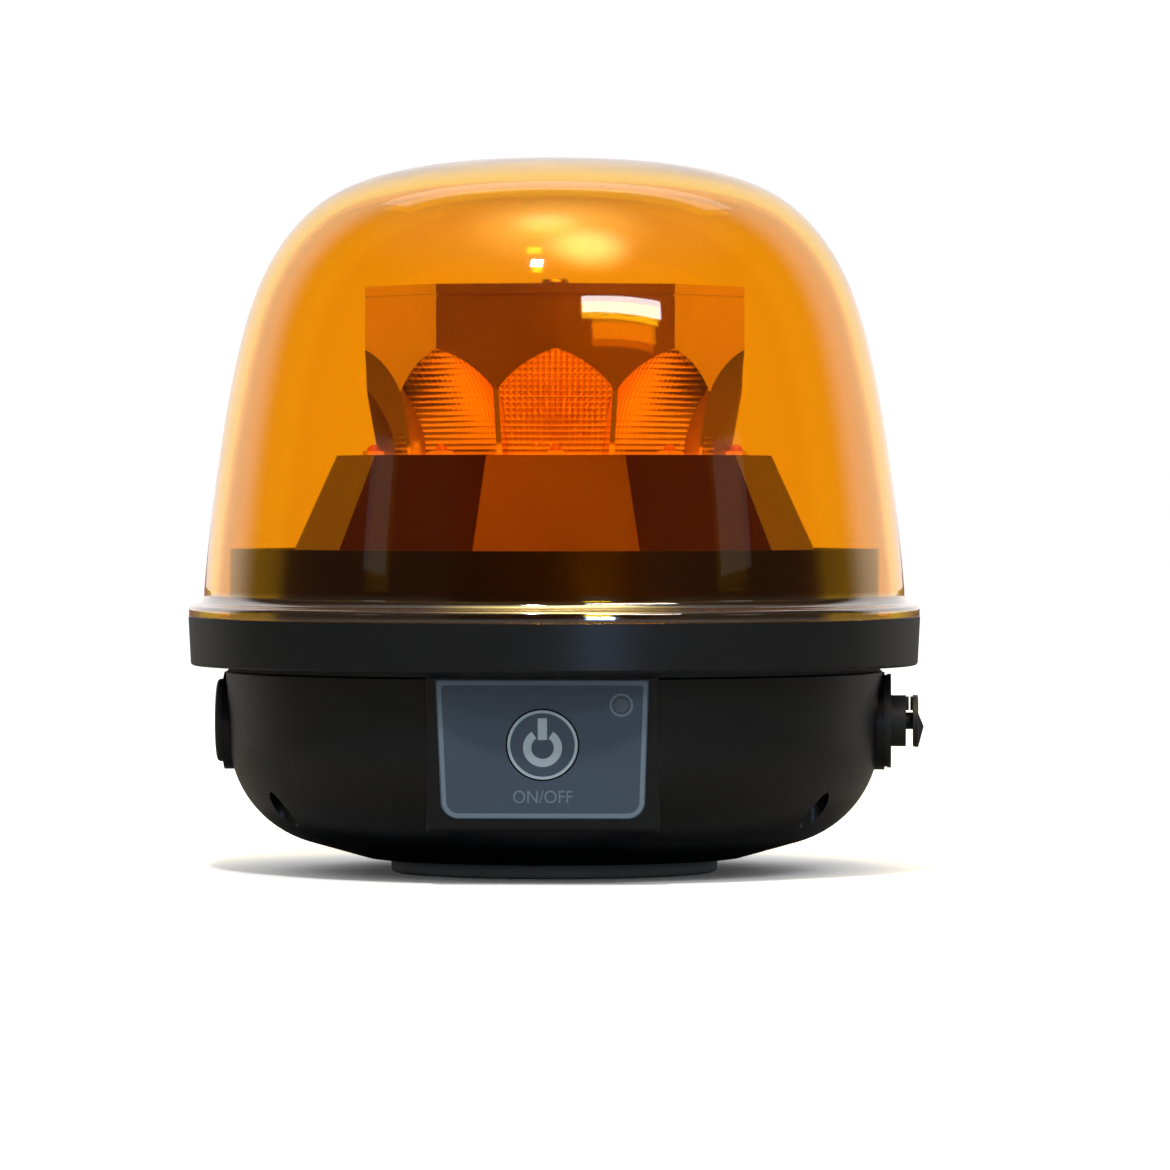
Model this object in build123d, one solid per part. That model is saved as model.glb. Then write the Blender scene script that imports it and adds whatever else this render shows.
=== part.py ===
from build123d import *
import math
import os

# A magnetic warning beacon: an amber dome over a ten-sided light module, on a round
# collar and a bowl-shaped base that stands on a rubber-coated magnet.
# The origin is the centre of the magnet's face, +Z runs up and the keypad faces -Y.
# All sizes are in millimetres.

# Main sizes: the dome sets the collar and the bowl, and the magnet sets the bowl's foot
dome_radius = 70.8
dome_height = 87.4
bowl_height = 37.8
magnet_radius = 33.0
plinth_top_radius = 44.0

# How far a cut runs past the face that it opens
past = 1.0

# Magnet
magnet_stand_off = 3.0
magnet_gap = 0.3
magnet_edge = 1.0
magnet_face_skin = 1.2
magnet_top_skin = 1.3
magnet_side_skin = 2.5
disc_radius = 5.5
disc_thickness = 3.5
disc_inset = 3.0
disc_count = 8
backplate_thickness = 2.5
stud_radius = 3.0
stud_length = 15.0
stud_chamfer = 0.6
stud_gap = 0.2
stud_washer_radius = 7.0
stud_washer_thickness = 1.2
stud_nut_flats = 10.0
stud_nut_height = 5.0
nut_corner_trim = 0.25
insert_gap = 0.05

# Bowl
bowl_wall = 2.5
wall_draft = 2.8
cone_foot_margin = 2.2
cone_angle = 15.5
bowl_corner = 22.0
corner_share = 0.95
rim_chamfer = 0.4
rim_seal_thickness = 1.0
rim_seal_width = 1.8
rim_seal_setback = 0.6

# Collar and deck
collar_wall = 2.8
collar_overhang = 7.5
collar_height = 9.7
collar_draft = 0.5
collar_edge = 0.7
collar_floor = 2.5
deck_thickness = 2.5
upstand_gap = 2.7
upstand_wall = 2.4
upstand_height = 13.9
spigot_depth = 3.0
spigot_wall = 2.4
spigot_gap = 0.4

# Dome
dome_wall = 2.5
dome_flange_setback = 0.1
dome_flange_height = 2.5
dome_flange_round = 1.0
dome_flange_fillet = 2.0
dome_foot_height = 5.4
dome_foot_depth = 5.2
dome_foot_gap = 0.4
dome_lean = 4.6
# Points of the dome's outer line, as shares of its radius and of its height
dome_line_ratios = [(0.966, 0.255), (0.908, 0.532), (0.808, 0.764), (0.655, 0.903), (0.432, 0.9725)]
dome_line_steps = 12

# Housing screws, in recesses in the bowl's underside
screw_inset = 6.2
screw_azimuths = [-61.0, 61.0, 180.0]
recess_radius = 2.9
recess_wall = 1.2
screw_seat_depth = 20.8
screw_radius = 1.75
screw_head_radius = 2.7
screw_head_height = 2.2
screw_reach = 5.0
screw_gap = 0.1
boss_wall = 2.0

# Keypad pad, a flat-faced boss on the front of the bowl
pad_setback = 2.0
pad_side_margin = 2.0
pad_margin_below = 2.7
pad_edge = 1.0
pad_tilt = 9.0
overlay_top_width = 41.6
overlay_bottom_width = 39.7
overlay_height = 27.6
overlay_rim_gap = 0.3
overlay_corner = 3.5
overlay_thickness = 0.5
overlay_recess = 0.3
overlay_gap = 0.1

# Power key and its switch
key_rise = 14.7
key_radius = 6.9
key_thickness = 0.9
key_gap = 0.3
key_travel = 0.4
key_stem_radius = 2.4
key_stem_gap = 0.1
key_stem_length = 3.6
key_rim = 0.25
switch_size = 6.0
switch_depth = 3.5
plunger_radius = 1.75
plunger_gap = 0.1
plunger_proud = 0.9
plunger_length = 1.9

# Switch board, on three posts behind the pad
board_thickness = 1.6
switch_board_margin = 2.8
switch_board_drop = 12.1
switch_board_height = 23.0
post_radius = 2.4
post_inset = 3.0
post_screw_radius = 1.0
post_screw_head = 1.9
post_screw_head_height = 1.0
post_screw_length = 6.0

# Indicator window and its lamp
indicator_setback = 5.4
indicator_drop = 5.0
indicator_radius = 1.5
indicator_gap = 0.05
indicator_collar = 2.3
indicator_collar_height = 1.2
lamp_size = 2.0
lamp_height = 0.8
lamp_gap = 0.3

# Side fittings, on round flats at both sides of the bowl
side_drop = 10.3
side_flat_proud = 0.3
side_flat_margin = 0.4
side_seat_depth = 4.6

# Charging socket
socket_gasket_thickness = 0.5
socket_gasket_setback = 0.2
socket_flange_radius = 9.5
socket_flange_thickness = 0.8
socket_barrel_radius = 4.4
socket_barrel_length = 2.8
socket_body_radius = 5.0
socket_body_length = 12.0
socket_bore_radius = 2.9
socket_floor = 3.0
socket_hole_gap = 0.1
socket_pin_radius = 1.05
socket_pin_round = 0.6
socket_pin_recess = 2.7
socket_nut_flats = 14.0
socket_nut_height = 3.0
terminal_width = 2.0
terminal_length = 5.0
terminal_thickness = 0.5
terminal_spread = 2.4
terminal_depth = 1.5

# Rubber cap of the charging socket, hinged on a strap ring
strap_wall = 0.73
strap_length = 3.0
strap_gap = 0.05
strap_lug_length = 0.6
strap_lug_half_width = 2.0
strap_lug_height = 3.0
cap_lip = 0.07
cap_gap = 1.4
cap_thickness = 1.1
cap_edge = 0.35
cap_hinge_gap = 0.3
cap_stem_gap = 1.2
cap_stem_depth = 1.9
cap_stem_chamfer = 0.4
cap_tab_proud = 1.1
cap_tab_half_width = 1.8
cap_tab_rise = 2.9
cap_tab_drop = 1.1

# Blanking plug
plug_radius = 8.4
plug_head = 1.5
plug_dome = 0.8
plug_stem_radius = 5.0
plug_gap = 0.05
plug_barb = 0.6
plug_barb_length = 2.0

# Light module
module_turn = 2.5
module_sides = 10
plinth_height = 32.7
plinth_foot_gap = 4.3
plinth_wall = 2.0
plinth_floor = 2.5
plinth_rim = 1.25
led_board_gap = 0.2
spreader_thickness = 3.0
spreader_setback = 1.9
spreader_hole = 6.0
led_size = 3.4
led_base = 0.8
led_lens_radius = 1.3
crown_setback = 4.1
crown_height = 31.3
scoop_focus = 9.75
scoop_depth = 11.4
scoop_fin = 1.1
scoop_fin_start = 12.8
scoop_fin_recess = 2.3
crown_core_wall = 2.2
crown_roof = 2.5
crown_cap_height = 2.5
crown_cap_step = 0.5
crown_cap_groove = 0.5
crown_post_inset = 4.7
crown_post_radius = 3.6
crown_post_count = 3
crown_screw_radius = 1.5
crown_screw_head = 2.8
crown_screw_head_height = 1.6
crown_screw_round = 0.8
crown_screw_reach = 6.0

# Plinth screws, up through the deck
plinth_post_inset = 18.9
plinth_post_radius = 4.0
plinth_post_height = 16.0
plinth_post_count = 3
plinth_screw_radius = 1.5
plinth_screw_head = 2.8
plinth_screw_head_height = 1.8
plinth_screw_reach = 8.0
lead_hole_radius = 5.0

# Control board, hung under the deck
control_margin = 19.2
control_drop = 5.0
control_post_inset = 6.0
control_post_radius = 3.0
control_post_angle = 45.0
control_post_count = 4
control_screw_radius = 1.1
control_screw_head = 2.1
control_screw_head_height = 1.2
control_screw_reach = 4.0
coil_radius = 6.0
coil_height = 5.5
coil_lip = 1.1
coil_waist = 1.2
capacitor_radius = 4.0
capacitor_height = 7.0
capacitor_edge = 0.7
capacitor_count = 2
capacitor_pitch = 10.0
chip_size = 9.0
driver_size = 5.4
chip_height = 1.6
plug_length = 8.0
plug_width = 5.0
plug_height = 5.0
lamp_plug_depth = 1.25
coil_place = (-16.0, -20.0)
capacitor_place = (-24.0, -2.0)
chip_place = (4.0, -14.0)
driver_place = (18.0, -22.0)
battery_plug_setback = 8.5
battery_plug_depth = 14.0
charge_plug = (34.0, 0.0)
switch_plug = (0.0, -34.0)

# Battery
cell_radius = 9.2
cell_length = 65.0
cell_gap = 0.3
cell_nub_radius = 3.0
cell_nub_length = 1.2
tray_stud_gap = 3.5
tray_rib = 0.6
tray_floor = 1.5
tray_wall = 2.0
tray_height = 9.5
tray_end_height = 15.0
tray_bowl_gap = 0.6
contact_thickness = 0.5
contact_size = 10.0
contact_spring_radius = 3.0
contact_tip_radius = 1.5
band_setback = 11.5
band_width = 10.0
band_thickness = 1.2
band_foot = 5.0
band_screw_radius = 1.2
band_screw_head = 2.2
band_screw_head_height = 1.3
band_screw_reach = 5.0

# Inner leads
lead_radius = 0.7
lead_pitch = 2.6
lead_rise = 3.0
lead_bend = 1.6
battery_lead_offset = 3.3
battery_lead_rise = 5.0
battery_lead_bend = 3.0
switch_lead_height = 28.0
switch_lead_run = 4.0
switch_lead_bend = 2.4

# Radii that follow from the main sizes
channel_radius = dome_radius + dome_foot_gap
collar_radius = channel_radius + collar_wall
upstand_radius = dome_radius - dome_wall - upstand_gap
upstand_inner = upstand_radius - upstand_wall
bowl_radius = collar_radius - collar_overhang
spigot_radius = bowl_radius - bowl_wall - spigot_gap
spigot_inner = spigot_radius - spigot_wall
screw_circle = bowl_radius - screw_inset
cone_foot_radius = magnet_radius + magnet_gap + bowl_wall + cone_foot_margin
backplate_radius = magnet_radius - magnet_side_skin
disc_circle = backplate_radius - disc_radius - disc_inset

# Heights that follow, from the magnet's face to the dome's top
bowl_floor = magnet_stand_off
plate_low = magnet_face_skin + disc_thickness
plate_high = plate_low + backplate_thickness
magnet_thickness = plate_high + magnet_top_skin
recess_top = magnet_thickness + bowl_wall
bowl_rim = bowl_floor + bowl_height
collar_bottom = bowl_rim + rim_seal_thickness
collar_top = collar_bottom + collar_height
channel_floor = collar_bottom + collar_floor
deck_bottom = collar_top - deck_thickness
dome_foot_bottom = collar_top - dome_foot_depth
dome_foot_top = collar_top + dome_foot_height
dome_top = dome_foot_top + dome_height
screw_seat = bowl_rim - screw_seat_depth

# Places on the keypad, before it leans back
pad_face = bowl_radius - pad_setback
pad_inner = pad_face - bowl_wall
pad_half_width = overlay_top_width / 2 + pad_side_margin
overlay_face = pad_face + overlay_thickness - overlay_recess
overlay_top = bowl_rim - overlay_rim_gap
overlay_bottom = overlay_top - overlay_height
pad_bottom = overlay_bottom - pad_margin_below
key_height = overlay_bottom + key_rise
stem_end = overlay_face - key_thickness - key_stem_length
switch_face = stem_end - plunger_proud
switch_board_face = switch_face - switch_depth
switch_board_back = switch_board_face - board_thickness
switch_board_half_width = pad_half_width - switch_board_margin
switch_board_bottom = key_height - switch_board_drop
indicator_x = overlay_top_width / 2 - indicator_setback
indicator_height = overlay_top - indicator_drop

# Places along the charging socket
side_height = bowl_rim - side_drop
side_flat = bowl_radius + side_flat_proud
side_flat_radius = socket_flange_radius + side_flat_margin
side_seat = side_flat - side_seat_depth
socket_gasket_radius = socket_flange_radius - socket_gasket_setback
socket_face = side_flat + socket_gasket_thickness
socket_back = socket_face - socket_body_length
barrel_start = socket_face + socket_flange_thickness
barrel_end = barrel_start + socket_barrel_length
strap_end = barrel_start + strap_length
strap_radius = socket_barrel_radius + strap_gap + strap_wall
cap_radius = strap_radius + cap_lip
cap_stem_radius = socket_bore_radius - cap_stem_gap
cap_face = strap_end + cap_gap
hinge_x = strap_end + strap_lug_length + cap_hinge_gap
hinge_z = side_height + strap_radius - cap_hinge_gap
lug_bottom = side_height + strap_radius - strap_lug_height

# Places on the light module
half_side = 180.0 / module_sides
face_share = math.cos(math.radians(half_side))
plinth_top = collar_top + plinth_height
plinth_foot_radius = upstand_inner - plinth_foot_gap
plinth_post_circle = plinth_foot_radius - plinth_post_inset
led_board_reach = plinth_top_radius * face_share - plinth_rim - led_board_gap
board_bottom = plinth_top - board_thickness
spreader_radius = led_board_reach - spreader_setback
spreader_bottom = board_bottom - spreader_thickness
plinth_ceiling = spreader_bottom - plinth_floor
crown_radius = plinth_top_radius - crown_setback
crown_top = plinth_top + crown_height
cap_top = crown_top + crown_cap_height
scoop_vertex = crown_radius - scoop_depth
led_circle = scoop_vertex + scoop_focus
crown_core_radius = scoop_vertex - crown_core_wall
crown_post_circle = crown_core_radius - crown_post_radius - crown_post_inset

# Places of the control board and the battery
control_radius = spigot_inner - control_margin
control_post_circle = control_radius - control_post_inset
control_top = deck_bottom - control_drop
control_bottom = control_top - board_thickness
tray_bottom = recess_top
cell_axis_z = tray_bottom + tray_floor + cell_gap + cell_radius
cell_first_row = stud_washer_radius + tray_stud_gap + cell_gap + cell_radius
cell_last_row = cell_first_row + 2 * (cell_radius + cell_gap) + tray_rib
cell_rows = [cell_first_row, cell_last_row]
band_place = cell_length / 2 - band_setback
tray_half_length = cell_length / 2 + cell_nub_length + cell_gap + contact_thickness + tray_wall
battery_plug = (tray_half_length - battery_plug_setback, battery_plug_depth)


# The keypad leans back about the pad's upper front edge, and all that it carries leans with it
LEANING = Pos(0, -pad_face, bowl_rim) * Rot(pad_tilt, 0, 0) * Pos(0, pad_face, -bowl_rim)


def rod(radius, low, high, x=0.0, y=0.0):
    """An upright cylinder between two heights."""
    return Pos(x, y, low) * Cylinder(radius, high - low, align=(Align.CENTER, Align.CENTER, Align.MIN))


def ring(outer, inner, low, high):
    """An upright tube about the main axis."""
    return rod(outer, low, high) - rod(inner, low - past, high + past)


def rod_x(radius, start, end, y=0.0, z=0.0):
    """A cylinder along X from one place to a further one."""
    blank = Cylinder(radius, end - start, align=(Align.CENTER, Align.CENTER, Align.MIN))
    return Pos(start, y, z) * Rot(0, 90, 0) * blank


def rod_front(radius, outer, inner, x=0.0, z=0.0):
    """A cylinder along Y, from a depth behind the front to a face further out."""
    blank = Cylinder(radius, outer - inner, align=(Align.CENTER, Align.CENTER, Align.MIN))
    return Pos(x, -outer, z) * Rot(-90, 0, 0) * blank


def block(x0, x1, y0, y1, z0, z1):
    """A box between two corners."""
    return Pos((x0 + x1) / 2, (y0 + y1) / 2, (z0 + z1) / 2) * Box(x1 - x0, y1 - y0, z1 - z0)


def spun(points):
    """A solid turned about the main axis from an outline of radii and heights."""
    return revolve(Plane.XZ * make_face(Polyline(*points, close=True)), Axis.Z)


def rounded(outline, radius, near):
    """The outline with its corner nearest a place rounded."""
    corner = outline.vertices().sort_by_distance(Vector(*near))[0]
    return fillet(corner, radius)


def decagon(vertex_radius, first):
    """A regular outline of the module's sides, with its first corner at an angle from the front."""
    step = 360.0 / module_sides
    turns = [math.radians(first + module_turn - 90 + i * step) for i in range(module_sides)]
    corners = [(vertex_radius * math.cos(a), vertex_radius * math.sin(a)) for a in turns]
    return Polygon(*corners, align=None)


def prism(vertex_radius, first, low, high):
    """An upright prism of the module's sides."""
    return Pos(0, 0, low) * extrude(decagon(vertex_radius, first), high - low)


def spots(circle, count, turn=0.0):
    """Places spread evenly on a circle, counted from the front."""
    angles = [math.radians(turn - 90 + i * 360.0 / count) for i in range(count)]
    return [(circle * math.cos(a), circle * math.sin(a)) for a in angles]


def joined(solids):
    """Separate solids kept together as one group."""
    return Compound(children=list(solids))


def bowl_form(inset, top):
    """The bowl's round form, inset from its outer face, up to a height."""
    lean = math.tan(math.radians(wall_draft))
    rise = math.tan(math.radians(cone_angle))
    floor = bowl_floor + inset
    foot = cone_foot_radius - inset * math.tan(math.radians(cone_angle / 2))
    wall = bowl_radius - inset / math.cos(math.radians(wall_draft))
    corner_r = (wall - (collar_bottom - floor + foot * rise) * lean) / (1 - rise * lean)
    corner_z = floor + (corner_r - foot) * rise
    top_r = wall - (collar_bottom - top) * lean
    line = Polyline((0, floor), (foot, floor), (corner_r, corner_z), (top_r, top), (0, top), close=True)
    turn = math.radians(90 - wall_draft - cone_angle)
    cone_length = math.hypot(corner_r - foot, corner_z - floor)
    corner_limit = corner_share * cone_length / math.tan(turn / 2)
    outline = rounded(make_face(line), min(bowl_corner - inset, corner_limit), (corner_r, corner_z))
    return revolve(Plane.XZ * outline, Axis.Z)


def screw_spots():
    """Places of the three housing screws, their azimuths counted from the front."""
    angles = [math.radians(a - 90) for a in screw_azimuths]
    return [(screw_circle * math.cos(a), screw_circle * math.sin(a)) for a in angles]


def pad_form(inset):
    """The keypad pad's flat-faced boss, inset from its outer faces and taller than the bowl."""
    half = pad_half_width - inset
    face = pad_face - inset
    pad = block(-half, half, -face, -face / 2, pad_bottom + inset, 2 * collar_bottom)
    if inset == 0:
        rim = pad.faces().sort_by(Axis.Y)[0].edges().sort_by(Axis.Z)[:-1]
        pad = fillet(rim, pad_edge)
    return LEANING * pad


def pad_front(face):
    """The space in front of the pad, from a face outwards."""
    high = 2 * collar_bottom
    return LEANING * block(-pad_half_width, pad_half_width, -2 * pad_face, -face, -collar_bottom, high)


def make_bowl():
    """The base: a drafted bowl with a flat keypad pad, side flats and screw recesses."""
    below_rim = rod(2 * bowl_radius, 0, bowl_rim)
    body = bowl_form(0, bowl_rim)
    body = chamfer(body.edges().group_by(Axis.Z)[-1], rim_chamfer)
    body = body - pad_front(pad_face) + (pad_form(0) & below_rim)
    hollow = bowl_form(bowl_wall, collar_top) - pad_front(pad_inner)
    hollow += pad_form(bowl_wall) & rod(2 * bowl_radius, 0, collar_top)
    hollow -= rod(magnet_radius + magnet_gap + bowl_wall, 0, recess_top)
    for side in (-1, 1):
        near, far = sorted((side * side_seat, side * side_flat))
        flat = rod_x(side_flat_radius, near, far, z=side_height)
        body += flat
        hollow -= flat
    body -= hollow
    tube_limit = bowl_form(0, collar_bottom)
    for x, y in screw_spots():
        body += rod(recess_radius + recess_wall, bowl_floor, collar_bottom, x, y) & tube_limit
    for x, y in screw_spots():
        body -= rod(recess_radius, 0, screw_seat, x, y)
        body -= rod(screw_radius + screw_gap, 0, collar_top, x, y)
    body -= rod(magnet_radius + magnet_gap, 0, magnet_thickness)
    body -= rod(stud_radius + stud_gap, 0, recess_top + past)
    hole_end = side_seat - side_seat_depth
    body -= rod_x(socket_body_radius + socket_hole_gap, hole_end, side_flat + past, z=side_height)
    body -= rod_x(plug_stem_radius + plug_gap, -side_flat - past, -hole_end, z=side_height)
    body -= LEANING * overlay_form(overlay_gap, pad_face + past, pad_face - overlay_recess)
    key_floor = overlay_face - key_thickness - key_travel - key_gap
    key_well = rod_front(key_radius + key_gap, pad_face + past, key_floor, z=key_height)
    stem_hole = rod_front(key_stem_radius + key_stem_gap, pad_face, pad_inner - past, z=key_height)
    body -= LEANING * (key_well + stem_hole)
    window_radius = indicator_radius + indicator_gap
    window = rod_front(window_radius, pad_face, pad_inner - past, indicator_x, indicator_height)
    body -= LEANING * window
    hole_radius = post_screw_radius + insert_gap
    for x, z in post_spots():
        body += LEANING * rod_front(post_radius, pad_inner + bowl_wall / 4, switch_board_face, x, z)
        body -= LEANING * rod_front(hole_radius, pad_inner, switch_board_face - past, x, z)
    return body


def overlay_form(grow, outer, inner):
    """The keypad's outline, wider at its top, with round lower corners."""
    low = overlay_bottom - grow
    high = overlay_bottom + overlay_height + grow
    half_low = overlay_bottom_width / 2 + grow
    half_high = overlay_top_width / 2 + grow
    corners = [(-half_low, low), (half_low, low), (half_high, high), (-half_high, high)]
    outline = Polygon(*corners, align=None)
    outline = fillet(outline.vertices().group_by(Axis.Y)[0], overlay_corner + grow)
    return Pos(0, -inner, 0) * (Plane.XZ * extrude(outline, outer - inner))


def make_overlay():
    """The keypad's face film, with openings for the key and the indicator."""
    front = overlay_face + past
    back = pad_face - overlay_recess - past
    window_radius = indicator_radius + indicator_gap
    film = overlay_form(0, overlay_face, pad_face - overlay_recess)
    film -= rod_front(key_radius + key_gap, front, back, z=key_height)
    film -= rod_front(window_radius, front, back, indicator_x, indicator_height)
    return LEANING * film


def make_key():
    """The round key: a disc with a turned rim and a stem that reaches the switch."""
    disc = rod_front(key_radius, overlay_face, overlay_face - key_thickness, z=key_height)
    disc = chamfer(disc.edges().group_by(Axis.Y)[0], key_rim)
    stem = rod_front(key_stem_radius, overlay_face - key_thickness, stem_end, z=key_height)
    return LEANING * (disc + stem)


def make_plunger():
    """The switch's own button, carried in by the key's stem."""
    return LEANING * rod_front(plunger_radius, stem_end, stem_end - plunger_length, z=key_height)


def make_switch():
    """The tactile switch's square case, open at the front for its button."""
    half = switch_size / 2
    case = block(-half, half, -switch_face, -switch_board_face, key_height - half, key_height + half)
    floor = switch_face - (plunger_length - plunger_proud + key_travel + key_gap)
    case -= rod_front(plunger_radius + plunger_gap, switch_face + past, floor, z=key_height)
    return LEANING * case


def post_spots():
    """Places of the switch board's three posts, clear of the indicator."""
    x = switch_board_half_width - post_inset
    low = switch_board_bottom + post_inset
    high = switch_board_bottom + switch_board_height - post_inset
    return [(-x, low), (x, low), (-x, high)]


def make_switch_board():
    """The upright board behind the keypad."""
    half = switch_board_half_width
    top = switch_board_bottom + switch_board_height
    board = block(-half, half, -switch_board_face, -switch_board_back, switch_board_bottom, top)
    front = switch_board_face + past
    back = switch_board_back - past
    for x, z in post_spots():
        board -= rod_front(post_screw_radius + screw_gap, front, back, x, z)
    return LEANING * board


def make_switch_board_screws():
    """Three small screws that hold the switch board to its posts."""
    back = switch_board_back
    screws = []
    for x, z in post_spots():
        shank = rod_front(post_screw_radius, back + post_screw_length, back, x, z)
        head = rod_front(post_screw_head, back, back - post_screw_head_height, x, z)
        screws.append(LEANING * (shank + head))
    return joined(screws)


def make_indicator():
    """The clear light pipe that shows through the keypad."""
    lamp_face = switch_board_face + lamp_height + lamp_gap
    pipe = rod_front(indicator_radius, overlay_face, lamp_face, indicator_x, indicator_height)
    collar = rod_front(indicator_collar, pad_inner, pad_inner - indicator_collar_height, indicator_x,
                       indicator_height)
    return LEANING * (pipe + collar)


def make_lamp():
    """The indicator's small lamp on the switch board."""
    half = lamp_size / 2
    face = switch_board_face
    return LEANING * block(indicator_x - half, indicator_x + half, -face - lamp_height, -face,
                           indicator_height - half, indicator_height + half)


def make_magnet_jacket():
    """The rubber coat of the magnet, moulded round its plate and discs."""
    coat = rod(magnet_radius, 0, magnet_thickness)
    coat = fillet(coat.edges().group_by(Axis.Z)[0], magnet_edge)
    coat -= rod(backplate_radius + insert_gap, plate_low, plate_high)
    for x, y in spots(disc_circle, disc_count):
        coat -= rod(disc_radius + insert_gap, magnet_face_skin, plate_low, x, y)
    coat -= rod(stud_radius + insert_gap, plate_low, magnet_thickness + past)
    return coat


def make_magnet_backplate():
    """The steel plate that closes the magnet's field."""
    return rod(backplate_radius, plate_low, plate_high)


def make_magnet_discs():
    """The ring of disc magnets under the plate."""
    places = spots(disc_circle, disc_count)
    return joined(rod(disc_radius, magnet_face_skin, plate_low, x, y) for x, y in places)


def make_magnet_stud():
    """The threaded stud welded to the plate, with a chamfered tip."""
    stud = rod(stud_radius, plate_high, plate_high + stud_length)
    return chamfer(stud.edges().group_by(Axis.Z)[-1], stud_chamfer)


def make_stud_washer():
    """The washer between the bowl's floor and the magnet's nut."""
    hole = stud_radius + stud_gap
    return ring(stud_washer_radius, hole, recess_top, recess_top + stud_washer_thickness)


def hexagon_nut(flats, height, bore):
    """A hexagon nut with its base on the ground plane."""
    nut = extrude(RegularPolygon(flats / 2, 6, major_radius=False), height)
    corner = flats / 2 / math.cos(math.radians(30))
    return (nut & rod(corner - nut_corner_trim, 0, height)) - rod(bore, -past, height + past)


def make_stud_nut():
    """The nut that holds the magnet to the bowl."""
    low = recess_top + stud_washer_thickness
    return Pos(0, 0, low) * hexagon_nut(stud_nut_flats, stud_nut_height, stud_radius + insert_gap)


def make_rim_seal():
    """The flat seal between the bowl's rim and the collar, notched round the screw tubes."""
    outer = bowl_radius - rim_seal_setback
    seal = ring(outer, outer - rim_seal_width, bowl_rim, collar_bottom)
    half = pad_half_width + insert_gap
    face = pad_face - rim_seal_setback
    seal -= block(-half, half, -2 * pad_face, -face, 0, collar_top)
    strip = block(-half, half, -face, rim_seal_width - face, bowl_rim, collar_bottom)
    seal += strip & rod(outer, bowl_rim, collar_bottom)
    for x, y in screw_spots():
        seal -= rod(recess_radius + recess_wall + insert_gap, 0, collar_top, x, y)
    return seal


def make_chassis():
    """The collar: a channel for the dome's foot, an upstand, the deck and a spigot."""
    edge_low = collar_radius - collar_draft
    outline = [
        (0, deck_bottom),
        (spigot_inner, deck_bottom),
        (spigot_inner, collar_bottom),
        (edge_low, collar_bottom),
        (collar_radius, collar_top),
        (channel_radius, collar_top),
        (channel_radius, channel_floor),
        (upstand_radius, channel_floor),
        (upstand_radius, collar_top + upstand_height),
        (upstand_inner, collar_top + upstand_height),
        (upstand_inner, collar_top),
        (0, collar_top),
    ]
    face = make_face(Polyline(*outline, close=True))
    face = rounded(face, collar_edge, (edge_low, collar_bottom))
    body = revolve(Plane.XZ * face, Axis.Z)
    spigot = ring(spigot_radius, spigot_inner, collar_bottom - spigot_depth, collar_bottom)
    half = pad_half_width + spigot_gap
    spigot -= block(-half, half, -2 * pad_face, 0, 0, collar_top)
    spigot -= rod_x(side_flat_radius + spigot_gap, -side_flat, side_flat, z=side_height)
    for x, y in screw_spots():
        spigot -= rod(recess_radius + recess_wall + spigot_gap, 0, collar_top, x, y)
    body += spigot
    for x, y in screw_spots():
        body += rod(screw_radius + boss_wall, collar_bottom, deck_bottom, x, y)
        body -= rod(screw_radius + insert_gap, 0, deck_bottom, x, y)
    for x, y in spots(control_post_circle, control_post_count, control_post_angle):
        body += rod(control_post_radius, control_top, deck_bottom, x, y)
        body -= rod(control_screw_radius + insert_gap, 0, deck_bottom, x, y)
    for x, y in spots(plinth_post_circle, plinth_post_count, module_turn):
        body -= rod(plinth_screw_radius + screw_gap, 0, collar_top + past, x, y)
    body -= rod(lead_hole_radius, 0, collar_top + past)
    return body


def make_housing_screws():
    """The three long screws that hold the bowl to the collar."""
    screws = []
    for x, y in screw_spots():
        head = rod(screw_head_radius, screw_seat - screw_head_height, screw_seat, x, y)
        shank = rod(screw_radius, screw_seat, collar_bottom + screw_reach, x, y)
        screws.append(head + shank)
    return joined(screws)


def dome_edges(offset):
    """The dome's line above its foot, as a spline, offset inwards by a wall."""
    lean = math.radians(dome_lean)
    start = Vector(dome_radius, dome_foot_top)
    shares = dome_line_ratios
    inner_points = [Vector(dome_radius * r, dome_foot_top + dome_height * h) for r, h in shares]
    top = Vector(0, dome_top)
    rise = Vector(-math.sin(lean), math.cos(lean))
    outer = Spline(start, *inner_points, top, tangents=[rise, Vector(-1, 0)])
    if offset == 0:
        return outer
    points = []
    for i in range(dome_line_steps + 1):
        step = i / dome_line_steps
        along = outer % step
        points.append(outer @ step + Vector(-along.Y, along.X) * offset)
    points[0] = Vector(dome_radius - offset, dome_foot_top)
    points[-1] = Vector(0, dome_top - offset)
    return Spline(*points, tangents=[rise, Vector(-1, 0)])


def make_dome():
    """The amber dome, with a polished flange on the collar and a foot in its channel."""
    flange = collar_radius - dome_flange_setback
    flange_top = collar_top + dome_flange_height
    inner = dome_radius - dome_wall
    outer_line = dome_edges(0)
    inner_line = dome_edges(dome_wall)
    foot = Polyline(
        (dome_radius, dome_foot_top),
        (dome_radius, flange_top),
        (flange, flange_top),
        (flange, collar_top),
        (dome_radius, collar_top),
        (dome_radius, dome_foot_bottom),
        (inner, dome_foot_bottom),
        (inner, dome_foot_top),
    )
    crown = Line((0, dome_top), (0, dome_top - dome_wall))
    face = make_face([*foot.edges(), outer_line, crown, inner_line])
    face = rounded(face, dome_flange_round, (flange, flange_top))
    face = rounded(face, dome_flange_fillet, (dome_radius, flange_top))
    return revolve(Plane.XZ * face, Axis.Z)


def make_dome_seal():
    """The seal under the dome's foot, in the floor of the channel."""
    outer = channel_radius - insert_gap
    return ring(outer, upstand_radius + insert_gap, channel_floor, dome_foot_bottom)


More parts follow.
